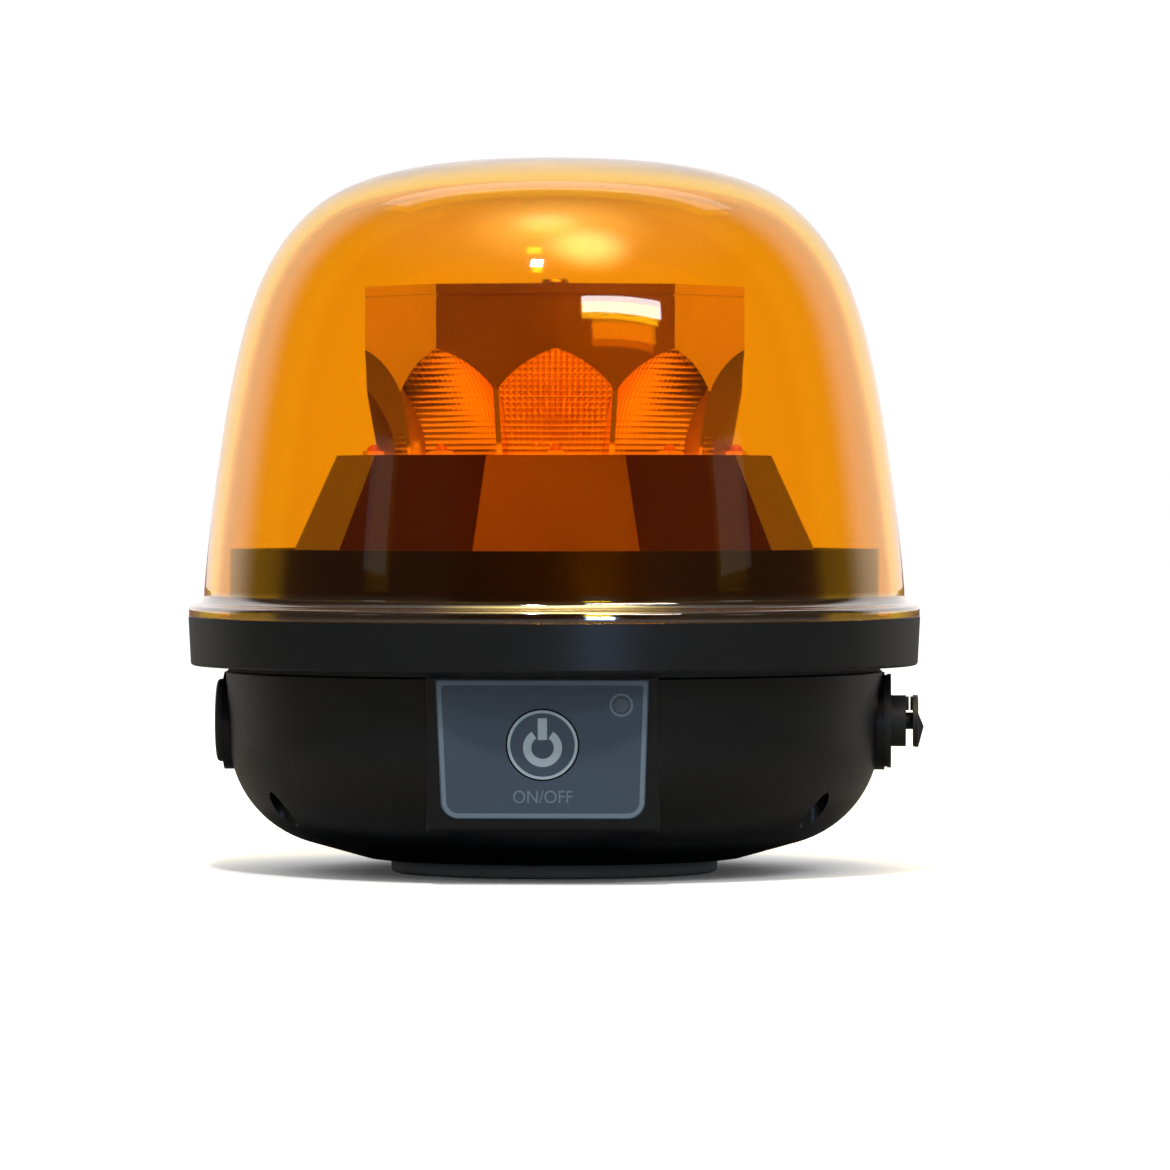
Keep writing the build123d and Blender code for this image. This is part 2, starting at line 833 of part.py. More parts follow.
def plinth_radius(height):
    """The plinth's corner radius at a height."""
    slope = (plinth_foot_radius - plinth_top_radius) / (plinth_top - collar_top)
    return plinth_top_radius + (plinth_top - height) * slope


def frustum(inset, low, high):
    """A tapered ten-sided form under the module, inset from the plinth's faces."""
    shrink = inset / face_share
    low_face = Pos(0, 0, low) * decagon(plinth_radius(low) - shrink, half_side)
    high_face = Pos(0, 0, high) * decagon(plinth_radius(high) - shrink, half_side)
    return loft([low_face, high_face], ruled=True)


def make_plinth():
    """The tapered ten-sided stand under the light module."""
    body = frustum(0, collar_top, plinth_top) - frustum(plinth_wall, collar_top, plinth_ceiling)
    well = (led_board_reach + led_board_gap) / face_share
    body -= prism(well, half_side, spreader_bottom, plinth_top + past)
    for x, y in spots(plinth_post_circle, plinth_post_count, module_turn):
        post_top = collar_top + plinth_post_height
        post = rod(plinth_post_radius, collar_top, post_top, x, y)
        rib = block(0, 2 * plinth_post_circle, -plinth_wall / 2, plinth_wall / 2, collar_top, post_top)
        rib = Rot(0, 0, math.degrees(math.atan2(y, x))) * Pos(plinth_post_circle, 0, 0) * rib
        body += post + (rib & frustum(plinth_wall / 2, collar_top, plinth_ceiling))
        body -= rod(plinth_screw_radius + insert_gap, 0, collar_top + plinth_screw_reach + past, x, y)
    for x, y in spots(crown_post_circle, crown_post_count, module_turn):
        body -= rod(crown_screw_radius + insert_gap, plinth_ceiling - past, plinth_top, x, y)
    body -= rod(lead_hole_radius, plinth_ceiling - past, plinth_top)
    return body


def make_plinth_screws():
    """The screws that hold the plinth down on the deck."""
    screws = []
    tip = collar_top + plinth_screw_reach
    for x, y in spots(plinth_post_circle, plinth_post_count, module_turn):
        head = rod(plinth_screw_head, deck_bottom - plinth_screw_head_height, deck_bottom, x, y)
        screws.append(head + rod(plinth_screw_radius, deck_bottom, tip, x, y))
    return joined(screws)


def make_spreader():
    """The aluminium heat spreader under the lamp board."""
    body = rod(spreader_radius, spreader_bottom, board_bottom)
    for x, y in spots(crown_post_circle, crown_post_count, module_turn):
        body -= rod(crown_screw_radius + screw_gap, 0, plinth_top, x, y)
    return body - rod(spreader_hole, 0, plinth_top)


def make_led_board():
    """The ten-sided metal-core board that carries the lamps."""
    body = prism(led_board_reach / face_share, half_side, board_bottom, plinth_top)
    for x, y in spots(crown_post_circle, crown_post_count, module_turn):
        body -= rod(crown_screw_radius + screw_gap, 0, plinth_top + past, x, y)
    return body - rod(spreader_hole, 0, plinth_top + past)


def make_leds():
    """The ring of lamps, one at the focus of each scoop."""
    lamps = []
    for i in range(module_sides):
        turn = module_turn + i * 360.0 / module_sides
        half = led_size / 2
        seat = plinth_top + led_base
        base = block(-half, half, -led_circle - half, half - led_circle, plinth_top, seat)
        lens = Pos(0, -led_circle, seat) * Sphere(led_lens_radius)
        lens &= block(-half, half, -led_circle - half, half - led_circle, seat, seat + led_lens_radius)
        lamps.append(Rot(0, 0, turn) * (base + lens))
    return joined(lamps)


def scoop_cutter():
    """The hollow of one scoop: a paraboloid about a level axis, kept inside its own sector."""
    reach = crown_radius + 2 * past
    width = math.sqrt(4 * scoop_focus * (reach - scoop_vertex))
    bowl = Bezier((scoop_vertex, 0), (scoop_vertex, width / 2), (reach, width))
    shut = Polyline((reach, width), (reach, 0), (scoop_vertex, 0))
    face = make_face([bowl, *shut.edges()])
    solid = revolve(face, Axis.X)
    solid = Rot(0, 0, -90) * solid
    solid &= block(-width, width, -2 * reach, 0, 0, width + past)
    side = 2 * reach * math.tan(math.radians(half_side))
    fin = scoop_fin / 2 / face_share
    inner = scoop_fin / 2 / math.sin(math.radians(half_side))
    sector = Polygon((0, -inner), (-side + fin, -2 * reach), (side - fin, -2 * reach), align=None)
    return Pos(0, 0, plinth_top) * (solid & extrude(sector, width + past))


def make_crown():
    """The reflector crown: a ten-sided drum with a parabolic scoop round each corner."""
    drum = prism(crown_radius, 0, plinth_top, crown_top)
    cutter = scoop_cutter()
    for i in range(module_sides):
        drum -= Rot(0, 0, module_turn + i * 360.0 / module_sides) * cutter
    edge = crown_radius * face_share
    start = plinth_top + scoop_fin_start
    reach = crown_radius + past
    below = plinth_top - past
    foot = edge - scoop_fin_recess
    drum -= spun([(edge, start), (reach, start), (reach, below), (foot, below), (foot, plinth_top)])
    core = rod(crown_core_radius, below, crown_top - crown_roof)
    for x, y in spots(crown_post_circle, crown_post_count, module_turn):
        core -= rod(crown_post_radius, below, crown_top, x, y)
    drum -= core
    for x, y in spots(crown_post_circle, crown_post_count, module_turn):
        drum -= rod(crown_screw_radius + screw_gap, 0, crown_top + past, x, y)
    return drum


def make_crown_cap():
    """The lid of the crown, with a thin shadow groove under its rim."""
    lid = prism(crown_radius, 0, crown_top + crown_cap_groove, cap_top)
    lid += prism(crown_radius - crown_cap_step, 0, crown_top, crown_top + crown_cap_groove)
    for x, y in spots(crown_post_circle, crown_post_count, module_turn):
        lid -= rod(crown_screw_radius + screw_gap, 0, cap_top + past, x, y)
    return lid


def make_crown_screws():
    """The long screws through cap, crown, board and spreader into the plinth."""
    screws = []
    for x, y in spots(crown_post_circle, crown_post_count, module_turn):
        head = rod(crown_screw_head, cap_top, cap_top + crown_screw_head_height, x, y)
        head = fillet(head.edges().group_by(Axis.Z)[-1], crown_screw_round)
        screws.append(head + rod(crown_screw_radius, plinth_top - crown_screw_reach, cap_top, x, y))
    return joined(screws)


def make_socket_gasket():
    """The rubber gasket under the charging socket's flange."""
    body = rod_x(socket_gasket_radius, side_flat, socket_face, z=side_height)
    hole = socket_body_radius + socket_hole_gap
    return body - rod_x(hole, side_flat - past, socket_face + past, z=side_height)


def make_socket():
    """The charging socket: flange, front barrel, body through the wall and blind bore."""
    body = rod_x(socket_flange_radius, socket_face, barrel_start, z=side_height)
    body += rod_x(socket_barrel_radius, barrel_start, barrel_end, z=side_height)
    body += rod_x(socket_body_radius, socket_back, socket_face, z=side_height)
    floor = socket_back + socket_floor
    body -= rod_x(socket_bore_radius, floor, barrel_end + past, z=side_height)
    for side in (-1, 1):
        body -= terminal(side * terminal_spread, socket_back)
    return body - rod_x(socket_pin_radius + insert_gap, socket_back, floor + past, z=side_height)


def terminal(y, start):
    """One solder tab, from a place behind the socket to its seat in the socket's back."""
    half = terminal_width / 2
    near = y - terminal_thickness / 2
    far = y + terminal_thickness / 2
    return block(start, socket_back + terminal_depth, near, far, side_height - half, side_height + half)


def make_socket_pin():
    """The socket's centre pin, with a round tip."""
    pin = rod_x(socket_pin_radius, socket_back, barrel_end - socket_pin_recess, z=side_height)
    return fillet(pin.edges().group_by(Axis.X)[-1], socket_pin_round)


def make_socket_terminals():
    """The two solder tabs at the socket's back."""
    return joined(terminal(side * terminal_spread, socket_back - terminal_length) for side in (-1, 1))


def make_socket_nut():
    """The nut that clamps the socket from inside the bowl."""
    nut = hexagon_nut(socket_nut_flats, socket_nut_height, socket_body_radius + insert_gap)
    return Pos(side_seat - socket_nut_height, 0, side_height) * Rot(0, 90, 0) * nut


def make_strap():
    """The rubber ring round the socket's barrel, with the lug that the cap hangs from."""
    inner = socket_barrel_radius + strap_gap
    half = strap_lug_half_width
    end = strap_end + strap_lug_length
    body = rod_x(strap_radius, barrel_start, strap_end, z=side_height)
    body -= rod_x(inner, barrel_start - past, strap_end + past, z=side_height)
    lug = block(barrel_end, end, -half, half, side_height + inner, hinge_z)
    tip = block(strap_end, end, -half, half, lug_bottom, hinge_z)
    return body + lug + tip


def make_cap():
    """The rubber cap: a round flap with a short stem, a hinge tongue and a pull tab."""
    flap = rod_x(cap_radius, cap_face, cap_face + cap_thickness, z=side_height)
    flap = fillet(flap.edges().group_by(Axis.X)[-1], cap_edge)
    stem = rod_x(cap_stem_radius, strap_end - cap_stem_depth, cap_face, z=side_height)
    stem = chamfer(stem.edges().group_by(Axis.X)[0], cap_stem_chamfer)
    tongue = block(hinge_x, cap_face, -strap_lug_half_width, strap_lug_half_width, lug_bottom, hinge_z)
    middle = cap_face + cap_thickness / 2
    outer = cap_face + cap_thickness
    tab_line = Polyline(
        (middle, side_height + cap_tab_rise),
        (outer + cap_tab_proud, side_height - cap_tab_drop),
        (outer, side_height - cap_radius),
        (middle, side_height - cap_radius),
        close=True,
    )
    tab = Plane.XZ * extrude(make_face(tab_line), 2 * cap_tab_half_width)
    return flap + stem + tongue + Pos(0, cap_tab_half_width, 0) * tab


def make_plug():
    """The blanking plug: a low domed head and a stem with a snap barb."""
    head = rod_x(plug_radius, -side_flat - plug_head, -side_flat, z=side_height)
    head = fillet(head.edges().group_by(Axis.X)[0], plug_dome)
    stem = rod_x(plug_stem_radius, -side_flat, plug_barb_length - side_seat, z=side_height)
    standing = (Align.CENTER, Align.CENTER, Align.MIN)
    barb = Cone(plug_stem_radius + plug_barb, plug_stem_radius, plug_barb_length, align=standing)
    return head + stem + Pos(-side_seat, 0, side_height) * Rot(0, 90, 0) * barb


def make_tray():
    """The cradle under the cells, trimmed to the bowl, with end walls for the contacts."""
    half = tray_half_length
    inner = half - tray_wall
    top = tray_bottom + tray_height
    first = cell_first_row - cell_radius - cell_gap
    last = cell_last_row + cell_radius + cell_gap
    body = block(-half, half, first, last, tray_bottom, top)
    for side in (-1, 1):
        near, far = sorted((side * inner, side * half))
        body += block(near, far, first, last, tray_bottom, tray_bottom + tray_end_height)
    foot = band_thickness + band_foot
    for x in (-band_place, band_place):
        near = x - band_width / 2
        far = x + band_width / 2
        body += block(near, far, first - foot, last + foot, tray_bottom, top)
    for y in cell_rows:
        body -= rod_x(cell_radius + cell_gap, -inner, inner, y, cell_axis_z)
    for x, y in band_screw_spots():
        body -= rod(band_screw_radius + insert_gap, top - band_screw_reach, collar_bottom, x, y)
    return body & bowl_form(bowl_wall + tray_bowl_gap, collar_bottom)


def band_screw_spots():
    """Places of the four screws through the feet of the two battery bands."""
    reach = cell_radius + cell_gap + band_thickness + band_foot / 2
    ys = [cell_first_row - reach, cell_last_row + reach]
    return [(x, y) for x in (-band_place, band_place) for y in ys]


def make_bands():
    """The two bands that bridge both cells and hold them in the tray."""
    inner = cell_radius + cell_gap
    outer = inner + band_thickness
    low = tray_bottom + tray_height
    foot_top = low + band_thickness
    near = cell_first_row - inner
    far = cell_last_row + inner
    bands = []
    for x in (-band_place, band_place):
        start = x - band_width / 2
        end = x + band_width / 2
        upper = block(start, end, near - outer, far + outer, low, collar_top)
        body = block(start, end, near - band_thickness, far + band_thickness, low, cell_axis_z)
        hole = block(start - past, end + past, near, far, low - past, cell_axis_z)
        for y in cell_rows:
            body += rod_x(outer, start, end, y, cell_axis_z) & upper
            hole += rod_x(inner, start - past, end + past, y, cell_axis_z)
        foot = band_thickness + band_foot
        body += block(start, end, near - foot, far + foot, low, foot_top)
        for screw_x, screw_y in band_screw_spots():
            hole += rod(band_screw_radius + screw_gap, low - past, foot_top + past, screw_x, screw_y)
        bands.append(body - hole)
    return joined(bands)


def make_band_screws():
    """The screws through the feet of the bands."""
    screws = []
    seat = tray_bottom + tray_height + band_thickness
    for x, y in band_screw_spots():
        head = rod(band_screw_head, seat, seat + band_screw_head_height, x, y)
        screws.append(head + rod(band_screw_radius, seat - band_screw_reach, seat, x, y))
    return joined(screws)


def make_contacts():
    """The four spring-steel contacts between the cells and the tray's end walls."""
    wall = tray_half_length - tray_wall
    face = wall - contact_thickness
    half = contact_size / 2
    low = cell_axis_z - half
    high = cell_axis_z + half
    nub_end = cell_length / 2 + cell_nub_length
    hollow = contact_spring_radius - contact_thickness
    contacts = []
    for y in cell_rows:
        tip = rod_x(contact_tip_radius, nub_end, face, y, cell_axis_z)
        contacts.append(tip + block(face, wall, y - half, y + half, low, high))
        spring = rod_x(contact_spring_radius, -face, -cell_length / 2, y, cell_axis_z)
        spring -= rod_x(hollow, -wall, 0, y, cell_axis_z)
        contacts.append(spring + block(-wall, -face, y - half, y + half, low, high))
    return joined(contacts)


def make_control_board():
    """The round control board that hangs under the deck."""
    body = rod(control_radius, control_bottom, control_top)
    for x, y in spots(control_post_circle, control_post_count, control_post_angle):
        body -= rod(control_screw_radius + screw_gap, 0, control_top + past, x, y)
    return body


def make_control_screws():
    """The screws that hold the control board to its posts."""
    screws = []
    tip = control_top + control_screw_reach
    for x, y in spots(control_post_circle, control_post_count, control_post_angle):
        head = rod(control_screw_head, control_bottom - control_screw_head_height, control_bottom, x, y)
        screws.append(head + rod(control_screw_radius, control_bottom, tip, x, y))
    return joined(screws)


def make_coil():
    """The wound coil of the lamp driver, a drum core with a waist."""
    low = control_bottom - coil_height
    body = rod(coil_radius, low, low + coil_lip, *coil_place)
    body += rod(coil_radius, control_bottom - coil_lip, control_bottom, *coil_place)
    return body + rod(coil_radius - coil_waist, low, control_bottom, *coil_place)


def make_capacitors():
    """The round capacitors of the lamp driver."""
    low = control_bottom - capacitor_height
    cans = []
    for i in range(capacitor_count):
        x = capacitor_place[0] + i * capacitor_pitch
        can = rod(capacitor_radius, low, control_bottom, x, capacitor_place[1])
        cans.append(fillet(can.edges().group_by(Axis.Z)[0], capacitor_edge))
    return joined(cans)


def make_chips():
    """The controller and the power switch, two flat square packages."""
    chips = []
    low = control_bottom - chip_height
    for size, place in ((chip_size, chip_place), (driver_size, driver_place)):
        x, y = place
        half = size / 2
        chips.append(block(x - half, x + half, y - half, y + half, low, control_bottom))
    return joined(chips)


def plug_block(x, y, length, low, high):
    """One lead connector, an upright block centred on a place."""
    near = y - plug_width / 2
    far = y + plug_width / 2
    return block(x - length / 2, x + length / 2, near, far, low, high)


def make_lead_plugs():
    """The connectors of the inner leads on both sides of the control board and on the lamp board."""
    low = control_bottom - plug_height
    under = (battery_plug, charge_plug, switch_plug)
    plugs = [plug_block(x, y, plug_length, low, control_bottom) for x, y in under]
    plugs.append(plug_block(0, 0, plug_length, control_top, deck_bottom - lamp_plug_depth))
    bridge = 2 * spreader_hole + plug_width
    plugs.append(plug_block(0, 0, bridge, plinth_top, plinth_top + plug_height))
    return joined(plugs)


def lead(points, bend):
    """One insulated lead: straight runs joined by tangent arcs."""
    path = FilletPolyline(*points, radius=bend)
    return sweep(Plane(origin=path @ 0, z_dir=path % 0) * Circle(lead_radius), path)


def make_lamp_leads():
    """The two leads from the control board up through the deck to the lamp board."""
    low = deck_bottom - lamp_plug_depth
    return joined(rod(lead_radius, low, plinth_top, x, 0) for x in (-lead_pitch / 2, lead_pitch / 2))


def make_battery_leads():
    """The two leads from the battery contacts to the control board."""
    start_z = cell_axis_z + contact_size / 2
    wall = tray_half_length - tray_wall - contact_thickness / 2
    plug_z = control_bottom - plug_height
    leads = []
    for i in (0, 1):
        x = battery_plug[0] + (i - 0.5) * lead_pitch
        y = battery_plug[1]
        row = cell_rows[i] - battery_lead_offset
        start = (wall, row, start_z)
        rise = (wall, row, start_z + battery_lead_rise)
        drop = (x, y, plug_z - battery_lead_rise)
        leads.append(lead([start, rise, drop, (x, y, plug_z)], battery_lead_bend))
    return joined(leads)


def make_charge_leads():
    """The two leads from the charging socket's tabs to the control board."""
    start_x = socket_back - terminal_length
    plug_x = charge_plug[0] + plug_length / 2
    plug_z = control_bottom - plug_height / 2
    leads = []
    for side in (-1, 1):
        y = side * terminal_spread
        plug_y = charge_plug[1] + side * lead_pitch / 2
        tab = (start_x, y, side_height)
        away = (start_x - lead_rise, y, side_height)
        near = (plug_x + lead_rise, plug_y, plug_z)
        leads.append(lead([tab, away, near, (plug_x, plug_y, plug_z)], lead_bend))
    return joined(leads)


def make_switch_leads():
    """The two leads from the switch board to the control board."""
    start = (LEANING * Pos(0, -switch_board_back, switch_lead_height)).position
    away = (LEANING * Pos(0, switch_lead_run - switch_board_back, switch_lead_height)).position
    plug_y = switch_plug[1] - plug_width / 2
    plug_z = control_bottom - plug_height / 2
    leads = []
    for side in (-1, 1):
        x = side * lead_pitch / 2
        near = (x, plug_y - switch_lead_run, plug_z)
        points = [(x, start.Y, start.Z), (x, away.Y, away.Z), near, (x, plug_y, plug_z)]
        leads.append(lead(points, switch_lead_bend))
    return joined(leads)


def make_cells():
    """Two round cells side by side, each with its raised end."""
    cells = []
    for y in cell_rows:
        cell = rod_x(cell_radius, -cell_length / 2, cell_length / 2, y, cell_axis_z)
        nub = rod_x(cell_nub_radius, cell_length / 2, cell_length / 2 + cell_nub_length, y, cell_axis_z)
        cells.append(cell + nub)
    return joined(cells)


NODES = {
    "magnet_jacket": make_magnet_jacket,
    "magnet_backplate": make_magnet_backplate,
    "magnet_discs": make_magnet_discs,
    "magnet_stud": make_magnet_stud,
    "magnet_washer": make_stud_washer,
    "magnet_nut": make_stud_nut,
    "bowl_housing": make_bowl,
    "rim_seal": make_rim_seal,
    "housing_screws": make_housing_screws,
    "collar_chassis": make_chassis,
    "dome_seal": make_dome_seal,
    "dome_lens": make_dome,
    "keypad_overlay": make_overlay,
    "power_key": make_key,
    "switch_plunger": make_plunger,
    "switch_case": make_switch,
    "switch_board": make_switch_board,
    "switch_board_screws": make_switch_board_screws,
    "indicator_pipe": make_indicator,
    "indicator_lamp": make_lamp,
    "socket_gasket": make_socket_gasket,
    "charge_socket": make_socket,
    "socket_pin": make_socket_pin,
    "socket_terminals": make_socket_terminals,
    "socket_nut": make_socket_nut,
    "cap_strap": make_strap,
    "charge_cap": make_cap,
    "blanking_plug": make_plug,
    "plinth": make_plinth,
    "plinth_screws": make_plinth_screws,
    "heat_spreader": make_spreader,
    "led_board": make_led_board,
    "leds": make_leds,
    "reflector_crown": make_crown,
    "crown_cap": make_crown_cap,
    "crown_screws": make_crown_screws,
    "battery_tray": make_tray,
    "battery_cells": make_cells,
    "battery_contacts": make_contacts,
    "battery_bands": make_bands,
    "band_screws": make_band_screws,
    "control_board": make_control_board,
    "control_screws": make_control_screws,
    "driver_coil": make_coil,
    "capacitors": make_capacitors,
    "control_chips": make_chips,
    "lead_plugs": make_lead_plugs,
    "lamp_leads": make_lamp_leads,
    "battery_leads": make_battery_leads,
    "charge_leads": make_charge_leads,
    "switch_leads": make_switch_leads,
}

os.makedirs("parts", exist_ok=True)
for name, make in NODES.items():
    export_step(make(), f"parts/{name}.step")
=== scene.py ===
import bmesh
import bpy
import math
import numpy as np
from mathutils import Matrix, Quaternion, Vector


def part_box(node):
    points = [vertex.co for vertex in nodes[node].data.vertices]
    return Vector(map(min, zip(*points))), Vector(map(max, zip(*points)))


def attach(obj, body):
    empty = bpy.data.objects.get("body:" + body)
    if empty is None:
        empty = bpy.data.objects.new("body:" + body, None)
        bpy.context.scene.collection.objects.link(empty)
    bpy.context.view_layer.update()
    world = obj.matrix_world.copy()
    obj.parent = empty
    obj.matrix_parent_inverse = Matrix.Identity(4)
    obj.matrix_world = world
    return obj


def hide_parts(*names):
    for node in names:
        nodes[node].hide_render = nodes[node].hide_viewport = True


bl_info = {
    "name": "Magnetic beacon finish",
    "version": (1, 0, 0),
    "blender": (4, 5, 0),
    "location": "View3D > Sidebar > Beacon",
    "description": "Finishes the surfaces of a magnetic amber beacon and sets its studio stage",
    "category": "Object",
}

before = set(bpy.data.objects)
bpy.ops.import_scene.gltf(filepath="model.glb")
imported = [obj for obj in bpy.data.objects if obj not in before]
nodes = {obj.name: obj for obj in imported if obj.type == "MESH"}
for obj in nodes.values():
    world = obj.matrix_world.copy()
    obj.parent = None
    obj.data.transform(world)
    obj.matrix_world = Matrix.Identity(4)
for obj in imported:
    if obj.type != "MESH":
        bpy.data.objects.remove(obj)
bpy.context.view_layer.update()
MM = 0.001

# The dome's outline as shares of its radius and of its height above the foot
DOME_SHARES = ((1, 0), (0.966, 0.255), (0.908, 0.532), (0.808, 0.764), (0.655, 0.903), (0.432, 0.9725),
               (0, 1))
DOME_ROUNDING = (2.0 * MM, 1.0 * MM, 0.3 * MM, 0, 0.3 * MM, 0.3 * MM)
DOME_ROWS = 150
DOME_SEGMENTS = 256
# Heights between which the polish of the flange fades out
POLISH_END = 57.0 * MM
POLISH_FULL = 55.5 * MM
# The number of scoops, and the facet skin's least distance from the solid and its grid
SCOOPS = 10
SKIN_GAP = 0.03 * MM
SKIN_ROWS = 96
SKIN_COLUMNS = 104
# Heights above the lamp board at which a lamp's case ends and its gel is full
CASE_TOP = 0.75 * MM
GEL_START = 0.85 * MM
# The keypad's print: outer and inner radii of rings, and places from the key's centre
BORDER_INSET = 0.25 * MM
FILM_TOP_CORNER = 0.6 * MM
KEY_RING = (6.85 * MM, 6.3 * MM)
INDICATOR_RING = (2.3 * MM, 1.85 * MM)
SYMBOL_RING = (3.8 * MM, 2.2 * MM)
SYMBOL_DROP = 0.56 * MM
SYMBOL_GAP = math.radians(33)
BAR_HALF_WIDTH = 0.9 * MM
BAR_LOW = 1.0 * MM
BAR_HIGH = 5.3 * MM
WORDS_WIDTH = 11.6 * MM
WORDS_HEIGHT = 2.5 * MM
WORDS_DROP = 10.3 * MM
# The picture's side in pixels, and the height that the lights face
PICTURE = 1170
LIT_HEIGHT = 80 * MM


class BeaconDomeSizes(bpy.types.PropertyGroup):
    """Sizes of the amber dome and its flange."""

    radius: bpy.props.FloatProperty(
        name="Radius", description="Outer radius of the dome above its flange", default=0.0708, unit="LENGTH"
    )
    wall: bpy.props.FloatProperty(
        name="Wall", description="Thickness of the dome's wall at its foot", default=0.0025, unit="LENGTH"
    )
    growth: bpy.props.FloatProperty(
        name="Growth", description="How much thicker the wall is at the top", default=0.0005, unit="LENGTH"
    )
    foot_top: bpy.props.FloatProperty(
        name="Foot top", description="Height at which the upright foot ends", default=0.0569, unit="LENGTH"
    )
    flange_bottom: bpy.props.FloatProperty(
        name="Flange bottom", description="Height of the flange's seat on the collar", default=0.0515,
        unit="LENGTH"
    )
    flange_top: bpy.props.FloatProperty(
        name="Flange top", description="Height of the flange's upper face", default=0.054, unit="LENGTH"
    )
    flange_reach: bpy.props.FloatProperty(
        name="Flange reach", description="How far the flange stands out from the dome", default=0.0031,
        unit="LENGTH"
    )
    lean: bpy.props.FloatProperty(
        name="Lean", description="Inward lean of the wall where it leaves the foot", default=0.0803,
        unit="ROTATION"
    )


class BeaconCrownSizes(bpy.types.PropertyGroup):
    """Sizes of the ten reflector scoops and their facets."""

    turn: bpy.props.FloatProperty(
        name="Turn", description="Turn of the light module about its axis", default=0.043633, unit="ROTATION"
    )
    radius: bpy.props.FloatProperty(
        name="Radius", description="Corner radius of the reflector's drum", default=0.0399, unit="LENGTH"
    )
    vertex: bpy.props.FloatProperty(
        name="Vertex", description="Radius at which the scoops' bottoms lie", default=0.0285, unit="LENGTH"
    )
    focus: bpy.props.FloatProperty(
        name="Focus", description="Focal length of each scoop", default=0.00975, unit="LENGTH"
    )
    fin: bpy.props.FloatProperty(
        name="Fin", description="Thickness of the fin between two scoops", default=0.0011, unit="LENGTH"
    )
    facet: bpy.props.FloatProperty(
        name="Facet", description="Side of one square facet", default=0.00115, unit="LENGTH"
    )
    crown: bpy.props.FloatProperty(
        name="Facet height", description="How far a facet's middle stands proud of its corners",
        default=0.00006, unit="LENGTH"
    )


class BeaconKeypadSizes(bpy.types.PropertyGroup):
    """Sizes of the keypad's print, on the leaning pad."""

    hinge_depth: bpy.props.FloatProperty(
        name="Lean line depth", description="Depth of the line that the pad leans about", default=0.0645,
        unit="LENGTH"
    )
    hinge_height: bpy.props.FloatProperty(
        name="Lean line height", description="Height of the line that the pad leans about", default=0.0408,
        unit="LENGTH"
    )
    tilt: bpy.props.FloatProperty(
        name="Tilt", description="How far the pad leans back", default=math.radians(9.0), unit="ROTATION"
    )
    face: bpy.props.FloatProperty(
        name="Face", description="Depth of the film's front face", default=0.0647, unit="LENGTH"
    )
    bottom: bpy.props.FloatProperty(
        name="Bottom", description="Height of the film's lower edge", default=0.0129, unit="LENGTH"
    )
    height: bpy.props.FloatProperty(
        name="Height", description="Height of the film", default=0.0276, unit="LENGTH"
    )
    top_width: bpy.props.FloatProperty(
        name="Top width", description="Width of the film at its top", default=0.0416, unit="LENGTH"
    )
    bottom_width: bpy.props.FloatProperty(
        name="Bottom width", description="Width of the film at its bottom", default=0.0397, unit="LENGTH"
    )
    corner: bpy.props.FloatProperty(
        name="Corner", description="Radius of the film's lower corners", default=0.0035, unit="LENGTH"
    )
    key_height: bpy.props.FloatProperty(
        name="Key height", description="Height of the key's centre", default=0.0276, unit="LENGTH"
    )
    indicator_x: bpy.props.FloatProperty(
        name="Indicator place", description="Distance of the indicator from the middle", default=0.0154,
        unit="LENGTH"
    )
    indicator_height: bpy.props.FloatProperty(
        name="Indicator height", description="Height of the indicator's centre", default=0.0355, unit="LENGTH"
    )
    border: bpy.props.FloatProperty(
        name="Border", description="Width of the printed border", default=0.00085, unit="LENGTH"
    )
    ink: bpy.props.FloatProperty(
        name="Ink", description="Thickness of the print", default=0.00003, unit="LENGTH"
    )


class BeaconColours(bpy.types.PropertyGroup):
    """Colours of the beacon's main finishes."""

    amber: bpy.props.FloatVectorProperty(
        name="Amber", description="Colour of light through one wall of the dome", subtype="COLOR",
        default=(0.97, 0.535, 0.008)
    )
    moulding: bpy.props.FloatVectorProperty(
        name="Moulding", description="Colour of the black base and collar", subtype="COLOR",
        default=(0.0034, 0.0040, 0.0056)
    )
    # The stand is black; the red in this colour is a painted amber cast of the light that comes through the
    # dome.
    module: bpy.props.FloatVectorProperty(
        name="Module", description="Colour of the stand inside the dome", subtype="COLOR",
        default=(0.019, 0.006, 0.004)
    )
    film: bpy.props.FloatVectorProperty(
        name="Film", description="Colour of the keypad's film", subtype="COLOR", default=(0.036, 0.056, 0.082)
    )
    border: bpy.props.FloatVectorProperty(
        name="Border", description="Colour of the film's border and words", subtype="COLOR",
        default=(0.105, 0.145, 0.185)
    )
    lamplight: bpy.props.FloatVectorProperty(
        name="Lamplight", description="Colour of lamplight that has come in through the dome",
        subtype="COLOR", default=(0.93, 0.18, 0.004)
    )
    ink: bpy.props.FloatVectorProperty(
        name="Ink", description="Colour of the key's print", subtype="COLOR", default=(0.27, 0.34, 0.38)
    )
    rubber: bpy.props.FloatVectorProperty(
        name="Rubber", description="Colour of the magnet's coat", subtype="COLOR",
        default=(0.060, 0.060, 0.060)
    )


